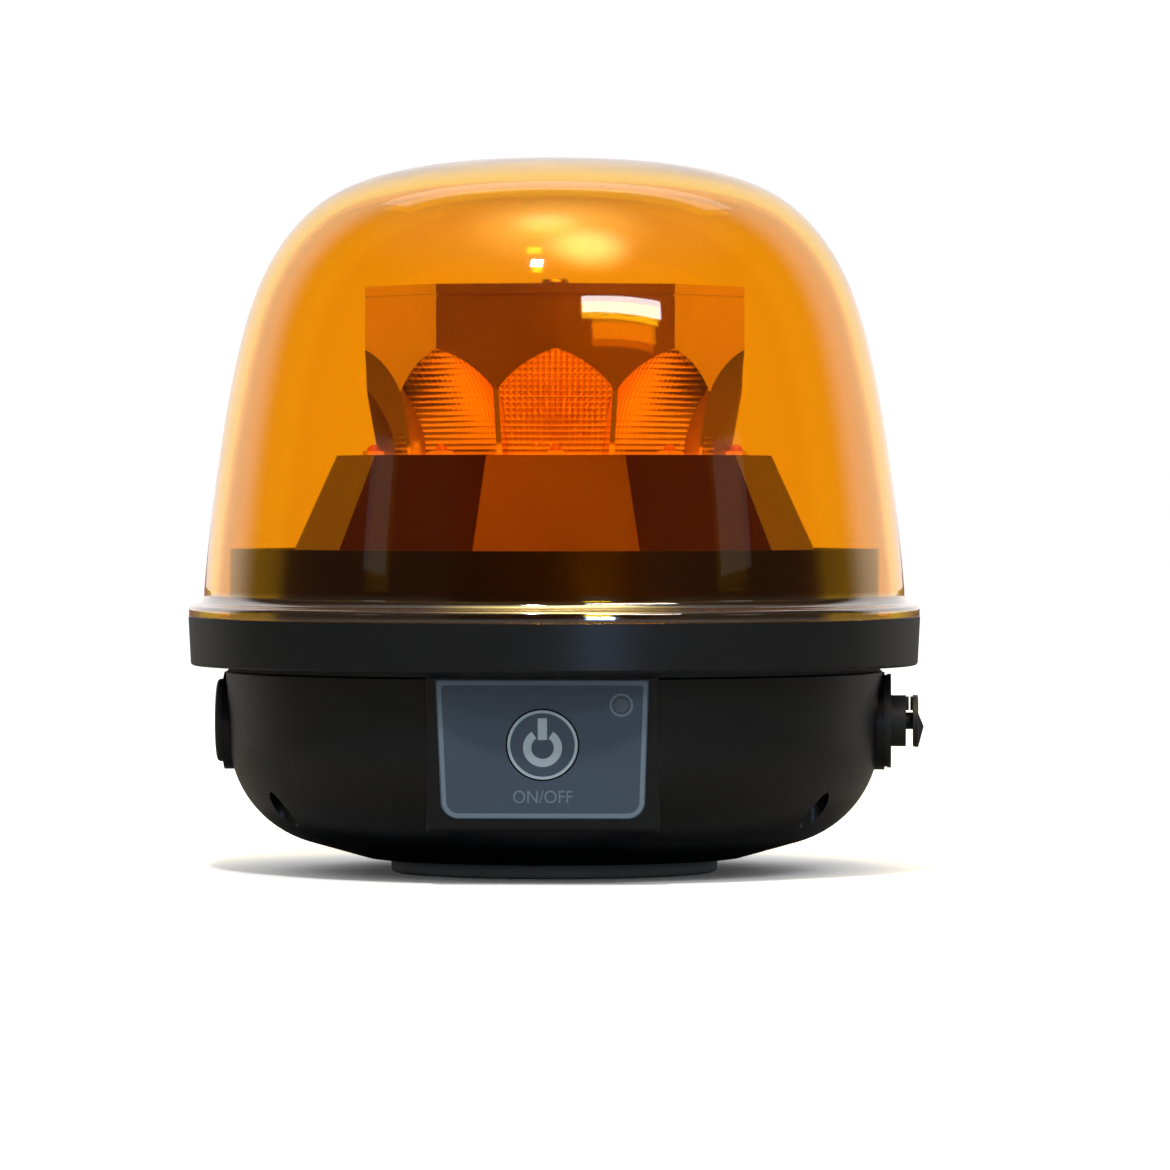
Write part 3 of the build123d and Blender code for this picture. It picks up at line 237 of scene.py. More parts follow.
class BeaconStageSizes(bpy.types.PropertyGroup):
    """The studio: the camera's place and the strength of the lights."""

    distance: bpy.props.FloatProperty(
        name="Distance", description="Distance from the camera to the beacon's axis", default=1.62,
        unit="LENGTH"
    )
    azimuth: bpy.props.FloatProperty(
        name="Azimuth", description="Camera's turn to the right of the keypad", default=math.radians(1.9),
        unit="ROTATION"
    )
    eye_height: bpy.props.FloatProperty(
        name="Eye height", description="Height of the level camera", default=0.0832, unit="LENGTH"
    )
    pixel: bpy.props.FloatProperty(
        name="Pixel", description="Size at the axis that one of the picture's 1170 columns shows",
        default=0.00020245, unit="LENGTH"
    )
    side_step: bpy.props.FloatProperty(
        name="Side step", description="Distance of the picture's middle to the right of the axis",
        default=0.0062, unit="LENGTH"
    )
    eye_row: bpy.props.FloatProperty(
        name="Eye row", description="Row of the picture, of 1170, at the camera's height", default=460.0
    )
    sweep: bpy.props.FloatProperty(
        name="Sweep", description="Brightness of the white studio", default=1.06
    )
    flank: bpy.props.FloatProperty(
        name="Flank", description="Brightness of what mirrors see to the camera's left and right",
        default=0.05
    )
    room: bpy.props.FloatProperty(
        name="Room", description="Brightness of what mirrors see round the camera", default=0.012
    )


def smooth_line(points, first, last, count):
    """A curve through points: cubic pieces over chord lengths, level in second derivative at each joint.

    The slopes m solve m[i-1] / h[i-1] + 2 m[i] (1 / h[i-1] + 1 / h[i]) + m[i+1] / h[i] =
    3 (d[i-1] / h[i-1] ** 2 + d[i] / h[i] ** 2), where h are chords, d steps, and the end slopes are given.
    """
    chords = np.linalg.norm(np.diff(points, axis=0), axis=1)
    steps = np.diff(points, axis=0)
    size = len(points)
    matrix = np.eye(size)
    right = np.zeros((size, 2))
    right[0] = first
    right[-1] = last
    inner = np.arange(1, size - 1)
    matrix[inner, inner - 1] = 1 / chords[:-1]
    matrix[inner, inner] = 2 * (1 / chords[:-1] + 1 / chords[1:])
    matrix[inner, inner + 1] = 1 / chords[1:]
    right[inner] = 3 * (steps[:-1] / chords[:-1, None] ** 2 + steps[1:] / chords[1:, None] ** 2)
    slopes = np.linalg.solve(matrix, right)
    knots = np.concatenate([[0], np.cumsum(chords)])
    along = np.linspace(0, knots[-1], count)
    piece = np.clip(np.searchsorted(knots, along, side="right") - 1, 0, size - 2)
    chord = chords[piece]
    share = ((along - knots[piece]) / chord)[:, None]
    start = points[piece] * (1 + 2 * share) * (1 - share) ** 2
    end = points[piece + 1] * share ** 2 * (3 - 2 * share)
    bend = chord[:, None] * share * (1 - share) * (slopes[piece] * (1 - share) - slopes[piece + 1] * share)
    return start + end + bend


def rounded_line(corners, radii, steps=8):
    """A line through corners, each replaced by an arc of its own radius that touches both its sides."""
    rows = [np.array([corners[0]])]
    for before, corner, after, radius in zip(corners, corners[1:], corners[2:], radii):
        before, corner, after = np.array(before), np.array(corner), np.array(after)
        back = (before - corner) / np.linalg.norm(before - corner)
        ahead = (after - corner) / np.linalg.norm(after - corner)
        half = math.acos(np.clip(back @ ahead, -1, 1)) / 2
        if radius == 0:
            rows.append(corner[None])
            continue
        centre = corner + (back + ahead) / np.linalg.norm(back + ahead) * radius / math.sin(half)
        start = corner + back * radius / math.tan(half) - centre
        end = corner + ahead * radius / math.tan(half) - centre
        sweep = math.pi - 2 * half
        share = np.linspace(0, 1, steps + 1)[:, None]
        spokes = start * np.sin((1 - share) * sweep) + end * np.sin(share * sweep)
        rows.append(centre + spokes / math.sin(sweep))
    rows.append(np.array([corners[-1]]))
    return np.concatenate(rows)


def grid_faces(rows, columns, closed_rows=False, closed_columns=False):
    """The four-sided cells of a grid whose points run row by row, joined round where closed."""
    row, column = np.meshgrid(
        np.arange(rows if closed_rows else rows - 1), np.arange(columns if closed_columns else columns - 1),
        indexing="ij"
    )
    row_after = (row + 1) % rows
    column_after = (column + 1) % columns
    cells = [row * columns + column, row * columns + column_after, row_after * columns + column_after,
             row_after * columns + column]
    return np.stack(cells, axis=-1).reshape(-1, 4)


def mesh_object(name, points, faces, material):
    """An object at the origin with a mesh of points and faces in one material."""
    mesh = bpy.data.meshes.new(name)
    mesh.from_pydata(points.tolist(), [], faces.tolist())
    mesh.materials.append(material)
    made = bpy.data.objects.new(name, mesh)
    bpy.context.scene.collection.objects.link(made)
    return made


def new_piece(name, points, faces, body, material, smooth=True, closed=True):
    """A mesh piece on a body: doubled points merged and, where it is closed, its faces turned outwards."""
    piece = mesh_object(name, points, faces, material)
    mesh = piece.data
    cleaned = bmesh.new()
    cleaned.from_mesh(mesh)
    bmesh.ops.remove_doubles(cleaned, verts=cleaned.verts, dist=1e-7)
    if closed:
        bmesh.ops.recalc_face_normals(cleaned, faces=cleaned.faces)
    cleaned.to_mesh(mesh)
    cleaned.free()
    mesh.polygons.foreach_set("use_smooth", np.full(len(mesh.polygons), smooth))
    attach(piece, body)
    return piece


def turned(profile, segments):
    """Points of a profile of radii and heights turned about Z: (r cos a, r sin a, z) for each angle a."""
    angles = np.linspace(0, 2 * math.pi, segments, endpoint=False)
    radius = profile[:, 0][:, None]
    height = np.broadcast_to(profile[:, 1][:, None], (len(profile), segments))
    return np.stack([radius * np.cos(angles), radius * np.sin(angles), height], axis=-1).reshape(-1, 3)


def give(material, *names):
    """Give CAD nodes a material in their own slots."""
    for name in names:
        for place in nodes[name].material_slots:
            place.material = material


def fresh_material(name):
    """A new material with its Principled BSDF, ready for settings."""
    material = bpy.data.materials.new(name)
    material.use_nodes = True
    return material, material.node_tree, material.node_tree.nodes["Principled BSDF"]


def light_direction(azimuth, height):
    """The way from the beacon to a light, from degrees to the right of the front and above the floor."""
    a, e = math.radians(azimuth), math.radians(height)
    return np.array([math.sin(a) * math.cos(e), -math.cos(a) * math.cos(e), math.sin(e)])


def added(tree, kind, values=None, **settings):
    """A new shader node with its settings, and with values on its own sockets."""
    node = tree.nodes.new("ShaderNode" + kind)
    for name, setting in settings.items():
        setattr(node, name, setting)
    fill(node, values or {})
    return node


def fill(node, values):
    """Set values on a node's own sockets."""
    for socket, value in values.items():
        node.inputs[socket].default_value = value


def wired(tree, rows):
    """Link nodes: each row names a node, its output, the next node and that node's input."""
    for source, output, target, socket in rows:
        tree.links.new(source.outputs[output], target.inputs[socket])


def new_group(name, inputs):
    """A node group with named inputs that puts out a colour, a roughness and a normal, and its two ends."""
    tree = bpy.data.node_groups.new(name, "ShaderNodeTree")
    for label, kind, value in inputs:
        socket = tree.interface.new_socket(name=label, in_out="INPUT", socket_type="NodeSocket" + kind)
        socket.default_value = value
    for label, kind in (("Colour", "Color"), ("Roughness", "Float"), ("Normal", "Vector")):
        tree.interface.new_socket(name=label, in_out="OUTPUT", socket_type="NodeSocket" + kind)
    return tree, tree.nodes.new("NodeGroupInput"), tree.nodes.new("NodeGroupOutput")


def moulded_grain_group():
    """Fine grain of moulded plastic and rubber: cell and cloud noise give shade, roughness and a bump."""
    tree = bpy.data.node_groups.get("moulded_grain")
    if tree:
        return tree
    tree, entry, ending = new_group("moulded_grain", (
        ("Colour", "Color", (0.02, 0.02, 0.02, 1)),
        ("Light Colour", "Color", (0.03, 0.03, 0.03, 1)),
        ("Grain Scale", "Float", 2500.0),
        ("Grain Depth", "Float", 0.00002),
        ("Roughness", "Float", 0.45),
        ("Roughness Spread", "Float", 0.1),
    ))
    place = added(tree, "TexCoord")
    cells = added(tree, "TexVoronoi")
    clouds = added(tree, "TexNoise", {"Scale": 60.0, "Detail": 4.0})
    fine = added(tree, "TexNoise", {"Detail": 2.0})
    relief = added(tree, "Math", operation="ADD")
    bump = added(tree, "Bump", {"Strength": 1.0})
    shade = added(tree, "Mix", data_type="RGBA")
    centred = added(tree, "Math", {1: 0.5}, operation="SUBTRACT")
    spread = added(tree, "Math", operation="MULTIPLY_ADD")
    wired(tree, (
        (place, "Object", cells, "Vector"),
        (place, "Object", clouds, "Vector"),
        (place, "Object", fine, "Vector"),
        (entry, "Grain Scale", cells, "Scale"),
        (entry, "Grain Scale", fine, "Scale"),
        (cells, "Distance", relief, 0),
        (fine, "Fac", relief, 1),
        (relief, 0, bump, "Height"),
        (entry, "Grain Depth", bump, "Distance"),
        (clouds, "Fac", shade, "Factor"),
        (entry, "Colour", shade, 6),
        (entry, "Light Colour", shade, 7),
        (clouds, "Fac", centred, 0),
        (centred, 0, spread, 0),
        (entry, "Roughness Spread", spread, 1),
        (entry, "Roughness", spread, 2),
        (shade, 2, ending, "Colour"),
        (spread, 0, ending, "Roughness"),
        (bump, "Normal", ending, "Normal"),
    ))
    return tree


def drawn_lines_group():
    """Lines left by drawing or turning metal: noise stretched one way gives shade, roughness and a bump."""
    tree = bpy.data.node_groups.get("drawn_lines")
    if tree:
        return tree
    tree, entry, ending = new_group("drawn_lines", (
        ("Colour", "Color", (0.6, 0.6, 0.6, 1)),
        ("Dark Colour", "Color", (0.4, 0.4, 0.4, 1)),
        ("Stretch", "Vector", (300.0, 300.0, 6000.0)),
        ("Line Depth", "Float", 0.00001),
        ("Roughness", "Float", 0.3),
    ))
    place = added(tree, "TexCoord")
    stretch = added(tree, "VectorMath", operation="MULTIPLY")
    lines = added(tree, "TexNoise", {"Scale": 1.0, "Detail": 3.0})
    shade = added(tree, "Mix", data_type="RGBA")
    spread = added(tree, "Math", {1: 0.18}, operation="MULTIPLY_ADD")
    bump = added(tree, "Bump")
    wired(tree, (
        (place, "Object", stretch, 0),
        (entry, "Stretch", stretch, 1),
        (stretch, 0, lines, "Vector"),
        (lines, "Fac", shade, "Factor"),
        (entry, "Dark Colour", shade, 6),
        (entry, "Colour", shade, 7),
        (lines, "Fac", spread, 0),
        (entry, "Roughness", spread, 2),
        (lines, "Fac", bump, "Height"),
        (entry, "Line Depth", bump, "Distance"),
        (shade, 2, ending, "Colour"),
        (spread, 0, ending, "Roughness"),
        (bump, "Normal", ending, "Normal"),
    ))
    return tree


def lightened(colour, factor):
    """A colour made lighter or darker by a factor, with full alpha."""
    return tuple(min(1.0, c * factor) for c in colour[:3]) + (1.0,)


def moulded(name, colour, roughness, depth, scale, spread=0.12, mottle=1.35, specular=0.5):
    """A moulded plastic or rubber with its own colour, roughness and grain."""
    material, tree, shader = fresh_material(name)
    grain = added(tree, "Group", {
        "Colour": lightened(colour, 1.0),
        "Light Colour": lightened(colour, mottle),
        "Grain Scale": scale,
        "Grain Depth": depth,
        "Roughness": roughness,
        "Roughness Spread": spread,
    }, node_tree=moulded_grain_group())
    shader.inputs["Specular IOR Level"].default_value = specular
    wired(tree, (
        (grain, "Colour", shader, "Base Color"),
        (grain, "Roughness", shader, "Roughness"),
        (grain, "Normal", shader, "Normal"),
    ))
    return material


def metal(name, colour, dark, roughness, stretch, depth=0.00001):
    """A bare or plated metal with drawn lines."""
    material, tree, shader = fresh_material(name)
    lines = added(tree, "Group", {
        "Colour": lightened(colour, 1.0),
        "Dark Colour": lightened(colour, dark),
        "Stretch": stretch,
        "Line Depth": depth,
        "Roughness": roughness,
    }, node_tree=drawn_lines_group())
    shader.inputs["Metallic"].default_value = 1.0
    wired(tree, (
        (lines, "Colour", shader, "Base Color"),
        (lines, "Roughness", shader, "Roughness"),
        (lines, "Normal", shader, "Normal"),
    ))
    return material


def amber_glass():
    """Clear amber polycarbonate: glass with faint waves, through which light reaches the lamps.

    The flange carries a polish that fades out above it. Shadow rays pass through as tinted light, each of
    the wall's two faces giving the square root of the tint.
    """
    colours = bpy.context.scene.beacon_colours
    material, tree, shader = fresh_material("amber_polycarbonate")
    fill(shader, {
        "Roughness": 0.03,
        "IOR": 1.49,
        "Transmission Weight": 1.0,
        "Sheen Weight": 0.25,
        "Sheen Roughness": 0.22,
        "Sheen Tint": (1.0, 0.42, 0.34, 1),
        "Coat IOR": 2.45,
        "Coat Roughness": 0.06,
    })
    place = added(tree, "TexCoord")
    waves = added(tree, "TexNoise", {"Scale": 30.0, "Detail": 2.0})
    shades = {6: lightened(colours.amber, 0.985), 7: lightened(colours.amber, 1.01)}
    tint = added(tree, "Mix", shades, data_type="RGBA")
    bump = added(tree, "Bump", {"Distance": 0.00012, "Strength": 0.35})
    split = added(tree, "SeparateXYZ")
    polish = added(tree, "MapRange", {"From Min": POLISH_END, "From Max": POLISH_FULL})
    path = added(tree, "LightPath")
    face_tint = tuple(math.sqrt(c) for c in colours.lamplight) + (1.0,)
    opening = added(tree, "BsdfTransparent", {"Color": face_tint})
    chooser = added(tree, "MixShader")
    wired(tree, (
        (place, "Object", split, 0),
        (split, "Z", polish, "Value"),
        (polish, 0, shader, "Coat Weight"),
        (place, "Object", waves, "Vector"),
        (waves, "Fac", tint, "Factor"),
        (waves, "Fac", bump, "Height"),
        (tint, 2, shader, "Base Color"),
        (bump, "Normal", shader, "Normal"),
        (path, "Is Shadow Ray", chooser, 0),
        (shader, 0, chooser, 1),
        (opening, 0, chooser, 2),
    ))
    tree.links.new(chooser.outputs[0], tree.nodes["Material Output"].inputs["Surface"])
    return material


def mirror_painted_amber_tint():
    """Bright metallised moulding with a faint cloud in its polish; its warm tint is a painted amber cast on
    the silver's reflections.
    """
    material, tree, shader = fresh_material("metallised_moulding_painted_amber_tint")
    shader.inputs["Metallic"].default_value = 0.93
    place = added(tree, "TexCoord")
    clouds = added(tree, "TexNoise", {"Scale": 60.0})
    tone = added(tree, "MapRange", {"To Min": 0.12, "To Max": 0.18})
    # Warm tint over silver: a painted amber cast of the light that the mirror reflects.
    shades = {6: (0.84, 0.64, 0.53, 1), 7: (0.91, 0.72, 0.61, 1)}
    shade = added(tree, "Mix", shades, data_type="RGBA")
    wired(tree, (
        (place, "Object", clouds, "Vector"),
        (clouds, "Fac", tone, "Value"),
        (clouds, "Fac", shade, "Factor"),
        (shade, 2, shader, "Base Color"),
        (tone, 0, shader, "Roughness"),
    ))
    return material


def plate(outer, inner, face, thickness, closed=True):
    """A thin flat band between two lines of (x, z), its back at a depth, as one tube of four sides."""
    front = -face - thickness
    back = -face
    count = len(outer)
    rings = []
    for line, depth in ((outer, front), (inner, front), (inner, back), (outer, back)):
        rings.append(np.stack([line[:, 0], np.full(count, depth), line[:, 1]], axis=-1))
    points = np.stack(rings, axis=1).reshape(-1, 3)
    faces = grid_faces(count, 4, closed_rows=closed, closed_columns=True)
    if not closed:
        last = 4 * (count - 1)
        faces = np.concatenate([faces, [[3, 2, 1, 0], [last, last + 1, last + 2, last + 3]]])
    return points, faces


def leaned(points):
    """Points of the upright keypad turned back about the pad's upper front edge."""
    keypad = bpy.context.scene.beacon_keypad
    depth = points[:, 1] + keypad.hinge_depth
    height = points[:, 2] - keypad.hinge_height
    turned_points = points.copy()
    turned_points[:, 1] = depth * math.cos(keypad.tilt) - height * math.sin(keypad.tilt) - keypad.hinge_depth
    turned_points[:, 2] = depth * math.sin(keypad.tilt) + height * math.cos(keypad.tilt) + keypad.hinge_height
    return turned_points


def circle_line(x, z, radius, start=0.0, end=2 * math.pi, count=96, closed=True):
    """Points on a circle or an arc about (x, z), angles counted from the top."""
    angles = np.linspace(start, end, count, endpoint=not closed)
    return np.stack([x + radius * np.sin(angles), z + radius * np.cos(angles)], axis=-1)


def film_line(inset):
    """The film's outline set in by a width: straight sides that taper, and arcs at the lower corners."""
    keypad = bpy.context.scene.beacon_keypad
    low = keypad.bottom + inset
    high = keypad.bottom + keypad.height - inset
    half_high = keypad.top_width / 2 - inset
    half_low = keypad.bottom_width / 2 - inset
    radius = keypad.corner - inset
    radii = (FILM_TOP_CORNER, radius, radius, FILM_TOP_CORNER)
    corners = [(0, high), (half_high, high), (half_low, low), (-half_low, low), (-half_high, high), (0, high)]
    return rounded_line(corners, radii, steps=12)[:-1]


def combined(parts):
    """Several sets of points and four-sided faces joined into one."""
    starts = np.cumsum([0] + [len(points) for points, faces in parts[:-1]])
    points = np.concatenate([points for points, faces in parts])
    faces = np.concatenate([faces + start for (_, faces), start in zip(parts, starts)])
    return points, faces


class BEACON_OT_dome(bpy.types.Operator):
    """Replace the dome by a smooth turned shell in clear amber."""

    bl_idname = "beacon.dome"
    bl_label = "Amber dome"

    def execute(self, context):
        dome = context.scene.beacon_dome
        low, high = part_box("dome_lens")
        top = high.z
        points = np.array(DOME_SHARES) * (dome.radius, top - dome.foot_top) + (0, dome.foot_top)
        rise = (-math.sin(dome.lean), math.cos(dome.lean))
        outer = smooth_line(points, rise, (-1, 0), DOME_ROWS)
        along = np.gradient(outer, axis=0)
        along /= np.linalg.norm(along, axis=1)[:, None]
        share = (outer[:, 1:] - dome.foot_top) / (top - dome.foot_top)
        inner = outer + np.stack([-along[:, 1], along[:, 0]], axis=-1) * (dome.wall + dome.growth * share)
        inner[0] = (dome.radius - dome.wall, dome.foot_top)
        inner[-1] = (0, top - dome.wall - dome.growth)
        flange = dome.radius + dome.flange_reach
        foot = [
            tuple(outer[0]),
            (dome.radius, dome.flange_top),
            (flange, dome.flange_top),
            (flange, dome.flange_bottom),
            (dome.radius, dome.flange_bottom),
            (dome.radius, low.z),
            (dome.radius - dome.wall, low.z),
            tuple(inner[0]),
        ]
        foot_line = rounded_line(foot, DOME_ROUNDING, steps=10)
        profile = np.concatenate([outer[::-1], foot_line[1:-1], inner])
        points = turned(profile, DOME_SEGMENTS)
        faces = grid_faces(len(profile), DOME_SEGMENTS, closed_columns=True)
        piece = new_piece("amber_dome", points, faces, "beacon", amber_glass())
        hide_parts("dome_lens")
        return {"FINISHED"}


class BEACON_OT_base(bpy.types.Operator):
    """Finish the bowl, the collar, their seals and the housing screws."""

    bl_idname = "beacon.base"
    bl_label = "Base and collar"

    def execute(self, context):
        colours = context.scene.beacon_colours
        black = moulded("black_moulding_satin", colours.moulding, 0.32, 0.000008, 2600.0, spread=0.08,
                        specular=0.45)
        seal = moulded("seal_rubber_matt", (0.02, 0.02, 0.021), 0.7, 0.00001, 1800.0)
        zinc = metal("zinc_plated_steel", (0.62, 0.62, 0.60), 0.7, 0.24, (400.0, 400.0, 4000.0))
        give(black, "bowl_housing", "collar_chassis")
        give(seal, "rim_seal", "dome_seal", "socket_gasket")
        give(zinc, "housing_screws", "switch_board_screws", "plinth_screws", "crown_screws", "band_screws",
             "control_screws", "magnet_backplate", "magnet_stud", "magnet_washer", "magnet_nut")
        return {"FINISHED"}


class BEACON_OT_keypad(bpy.types.Operator):
    """Finish the keypad's film and key, and print its border, rings, power symbol and words."""

    bl_idname = "beacon.keypad"
    bl_label = "Keypad"

    def execute(self, context):
        keypad = context.scene.beacon_keypad
        colours = context.scene.beacon_colours
        film = moulded("keypad_film_satin", colours.film, 0.36, 0.000004, 3200.0, spread=0.08, mottle=1.18)
        ink = moulded("key_ink", colours.ink, 0.5, 0.000003, 4000.0, spread=0.08, mottle=1.12)
        pale = moulded("border_ink", colours.border, 0.5, 0.000003, 4000.0, spread=0.08, mottle=1.12)
        give(film, "keypad_overlay", "power_key")
        face = keypad.face
        thick = keypad.ink
        edge = film_line(BORDER_INSET)
        border = plate(edge, film_line(BORDER_INSET + keypad.border), face, thick)
        x, z = keypad.indicator_x, keypad.indicator_height
        ring = plate(*(circle_line(x, z, radius) for radius in INDICATOR_RING), face, thick)
        points, faces = combined([border, ring])
        new_piece("keypad_print", leaned(points), faces, "beacon", pale, smooth=False)
        height = keypad.key_height
        key_ring = plate(*(circle_line(0, height, radius) for radius in KEY_RING), face, thick)
        ends = (SYMBOL_GAP, 2 * math.pi - SYMBOL_GAP)
        sides = (circle_line(0, height - SYMBOL_DROP, radius, *ends, count=64, closed=False)
                 for radius in SYMBOL_RING)
        arc = plate(*sides, face, thick, closed=False)
        rise = np.linspace(height + BAR_LOW, height + BAR_HIGH, 6)
        sides = (np.stack([np.full(6, x), rise], axis=-1) for x in (BAR_HALF_WIDTH, -BAR_HALF_WIDTH))
        bar = plate(*sides, face, thick, closed=False)
        points, faces = combined([key_ring, arc, bar])
        new_piece("key_print", leaned(points), faces, "key", ink, smooth=False)
        self.print_words(context, pale)
        return {"FINISHED"}

    def print_words(self, context, ink):
        """The words ON/OFF as thin raised ink, scaled to their width and height."""
        keypad = context.scene.beacon_keypad
        curve = bpy.data.curves.new("switch_words", "FONT")
        curve.body = "ON/OFF"
        curve.align_x = "CENTER"
        curve.align_y = "CENTER"
        curve.extrude = 0.5
        source = bpy.data.objects.new("switch_words", curve)
        context.scene.collection.objects.link(source)
        context.view_layer.update()
        mesh = bpy.data.meshes.new_from_object(source)
        bpy.data.objects.remove(source)
        points = np.empty(len(mesh.vertices) * 3)
        mesh.vertices.foreach_get("co", points)
        points = points.reshape(-1, 3)
        size = np.ptp(points, axis=0)
        middle = (points.max(axis=0) + points.min(axis=0)) / 2
        shares = (points - middle) / size
        placed = np.empty_like(shares)
        placed[:, 0] = shares[:, 0] * WORDS_WIDTH
        placed[:, 1] = -keypad.face - keypad.ink / 2 - shares[:, 2] * keypad.ink
        placed[:, 2] = keypad.key_height - WORDS_DROP + shares[:, 1] * WORDS_HEIGHT
        mesh.vertices.foreach_set("co", leaned(placed).ravel())
        mesh.materials.clear()
        mesh.materials.append(ink)
        mesh.update()
        words = bpy.data.objects.new("switch_words", mesh)
        context.scene.collection.objects.link(words)
        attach(words, "beacon")


class BEACON_OT_fittings(bpy.types.Operator):
    """Finish the charging socket, its cap and strap, the blanking plug and the indicator's light pipe."""

    bl_idname = "beacon.fittings"
    bl_label = "Side fittings"

    def execute(self, context):
        rubber = moulded("cap_rubber_satin", (0.012, 0.013, 0.013), 0.5, 0.00001, 1600.0)
        dark = moulded("dark_plastic_fine", (0.014, 0.014, 0.015), 0.38, 0.000006, 2400.0)
        brass = metal("plated_brass", (0.80, 0.62, 0.28), 0.75, 0.2, (500.0, 500.0, 3000.0))
        give(rubber, "cap_strap", "charge_cap", "blanking_plug")
        give(dark, "charge_socket", "socket_nut", "switch_case", "switch_plunger", "battery_tray",
             "battery_bands", "control_chips")
        give(brass, "socket_pin", "socket_terminals")
        pipe, tree, shader = fresh_material("clear_light_pipe")
        place = added(tree, "TexCoord")
        clouds = added(tree, "TexNoise", {"Scale": 900.0})
        frost = added(tree, "MapRange", {"To Min": 0.12, "To Max": 0.3})
        wired(tree, (
            (place, "Object", clouds, "Vector"),
            (clouds, "Fac", frost, "Value"),
            (frost, 0, shader, "Roughness"),
        ))
        fill(shader, {"Base Color": (0.09, 0.12, 0.15, 1), "Transmission Weight": 0.3})
        give(pipe, "indicator_pipe")
        return {"FINISHED"}


class BEACON_OT_magnet(bpy.types.Operator):
    """Finish the magnet's rubber coat and the plated parts inside it."""

    bl_idname = "beacon.magnet"
    bl_label = "Magnet"

    def execute(self, context):
        colours = context.scene.beacon_colours
        coat = moulded("magnet_rubber_coat", colours.rubber, 0.75, 0.00004, 900.0, spread=0.15, mottle=1.5)
        nickel = metal("nickel_plate", (0.70, 0.69, 0.66), 0.85, 0.16, (600.0, 600.0, 600.0))
        give(coat, "magnet_jacket")
        give(nickel, "magnet_discs", "battery_contacts")
        return {"FINISHED"}


class BEACON_OT_module(bpy.types.Operator):
    """Finish the light module: its stand, boards, lamps and crown, and face its scoops with facets."""

    bl_idname = "beacon.module"
    bl_label = "Light module"

    def execute(self, context):
        colours = context.scene.beacon_colours
        # The stand's red tint is painted amber light from the dome over its own black.
        stand = moulded("module_moulding_painted_amber_cast", colours.module, 0.30, 0.0000015, 1500.0, spread=0.1)
        mirror = mirror_painted_amber_tint()
        white_board = moulded("white_board_lacquer", (0.78, 0.78, 0.76), 0.35, 0.000003, 2000.0, mottle=1.04)
        aluminium = metal("bare_aluminium", (0.78, 0.78, 0.79), 0.85, 0.3, (300.0, 4000.0, 300.0))
        give(stand, "plinth")
        give(mirror, "reflector_crown", "crown_cap")
        give(white_board, "led_board")
        give(aluminium, "heat_spreader", "capacitors")
        give(self.lamp_material(), "leds", "indicator_lamp")
        self.face_scoops(context, mirror)
        return {"FINISHED"}

    def lamp_material(self):
        """A pale lamp case with a deep amber gel on top, told apart by height above the board. Both colours
        are darker and redder than the lamp's own white case and yellow gel: a painted amber cast of the light
        through the dome.
        """
        material, tree, shader = fresh_material("lamp_gel_and_case_painted_amber")
        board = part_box("leds")[0].z
        place = added(tree, "TexCoord")
        split = added(tree, "SeparateXYZ")
        heights = {"From Min": board + CASE_TOP, "From Max": board + GEL_START}
        gel = added(tree, "MapRange", heights)
        # Case and gel colours: darker and redder than their own white and yellow, a painted amber cast of the
        # light through the dome.
        shades = {6: (0.56, 0.44, 0.32, 1), 7: (0.36, 0.13, 0.035, 1)}
        shade = added(tree, "Mix", shades, data_type="RGBA")
        wired(tree, (
            (place, "Object", split, 0),
            (split, "Z", gel, "Value"),
            (gel, 0, shade, "Factor"),
            (shade, 2, shader, "Base Color"),
        ))
        shader.inputs["Roughness"].default_value = 0.3
        return material

    def face_scoops(self, context, material):
        """Ten faceted skins on the scoops, each a grid of (u, v) on the paraboloid about its level axis.

        At width w and height h the skin's radius is vertex + (w * w + h * h) / (4 focus). Its top is where
        that meets the drum's faces, and each row ends at the nearer of the drum's face and the fin. A
        facet's relief is its height times 1 minus the mean square distance from its middle.
        """
        crown = context.scene.beacon_crown
        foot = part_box("reflector_crown")[0].z
        tangent = math.tan(math.pi / SCOOPS)
        focal = 4 * crown.focus
        room = focal * (crown.radius - crown.vertex)
        top = math.sqrt(room) * 0.995
        h = np.linspace(0.02 * MM, top, SKIN_ROWS)[:, None]
        half_focal = focal * tangent / 2
        drum_end = np.sqrt(half_focal ** 2 + room - h ** 2) - half_focal
        side = crown.fin / 2 / math.cos(math.pi / SCOOPS)
        lean = tangent / focal
        reach = tangent * (crown.vertex + h ** 2 / focal) - side
        fin_end = (1 - np.sqrt(1 - 4 * lean * reach)) / (2 * lean)
        w = np.linspace(-1, 1, SKIN_COLUMNS)[None, :] * np.minimum(drum_end, fin_end)
        h = np.broadcast_to(h, w.shape)
        across = np.mod(w / crown.facet + 0.5, 1) * 2 - 1
        up = np.mod(h / crown.facet, 1) * 2 - 1
        relief = SKIN_GAP + crown.crown * (1 - (across ** 2 + up ** 2) / 2)
        slope = np.stack([np.ones_like(w), -2 * w / focal, -2 * h / focal], axis=-1)
        slope /= np.linalg.norm(slope, axis=-1)[..., None]
        skin = np.stack([crown.vertex + (w ** 2 + h ** 2) / focal, w, h], axis=-1) + slope * relief[..., None]
        skin = skin.reshape(-1, 3)
        faces = grid_faces(*w.shape)
        parts = []
        for i in range(SCOOPS):
            angle = crown.turn + i * 2 * math.pi / SCOOPS - math.pi / 2
            radial = np.array([math.cos(angle), math.sin(angle), 0])
            lateral = np.array([-math.sin(angle), math.cos(angle), 0])
            points = skin[:, :1] * radial + skin[:, 1:2] * lateral + skin[:, 2:] * np.array([0, 0, 1])
            parts.append((points + np.array([0, 0, foot]), faces))
        points, faces = combined(parts)
        new_piece("scoop_facets", points, faces, "beacon", material, smooth=False, closed=False)


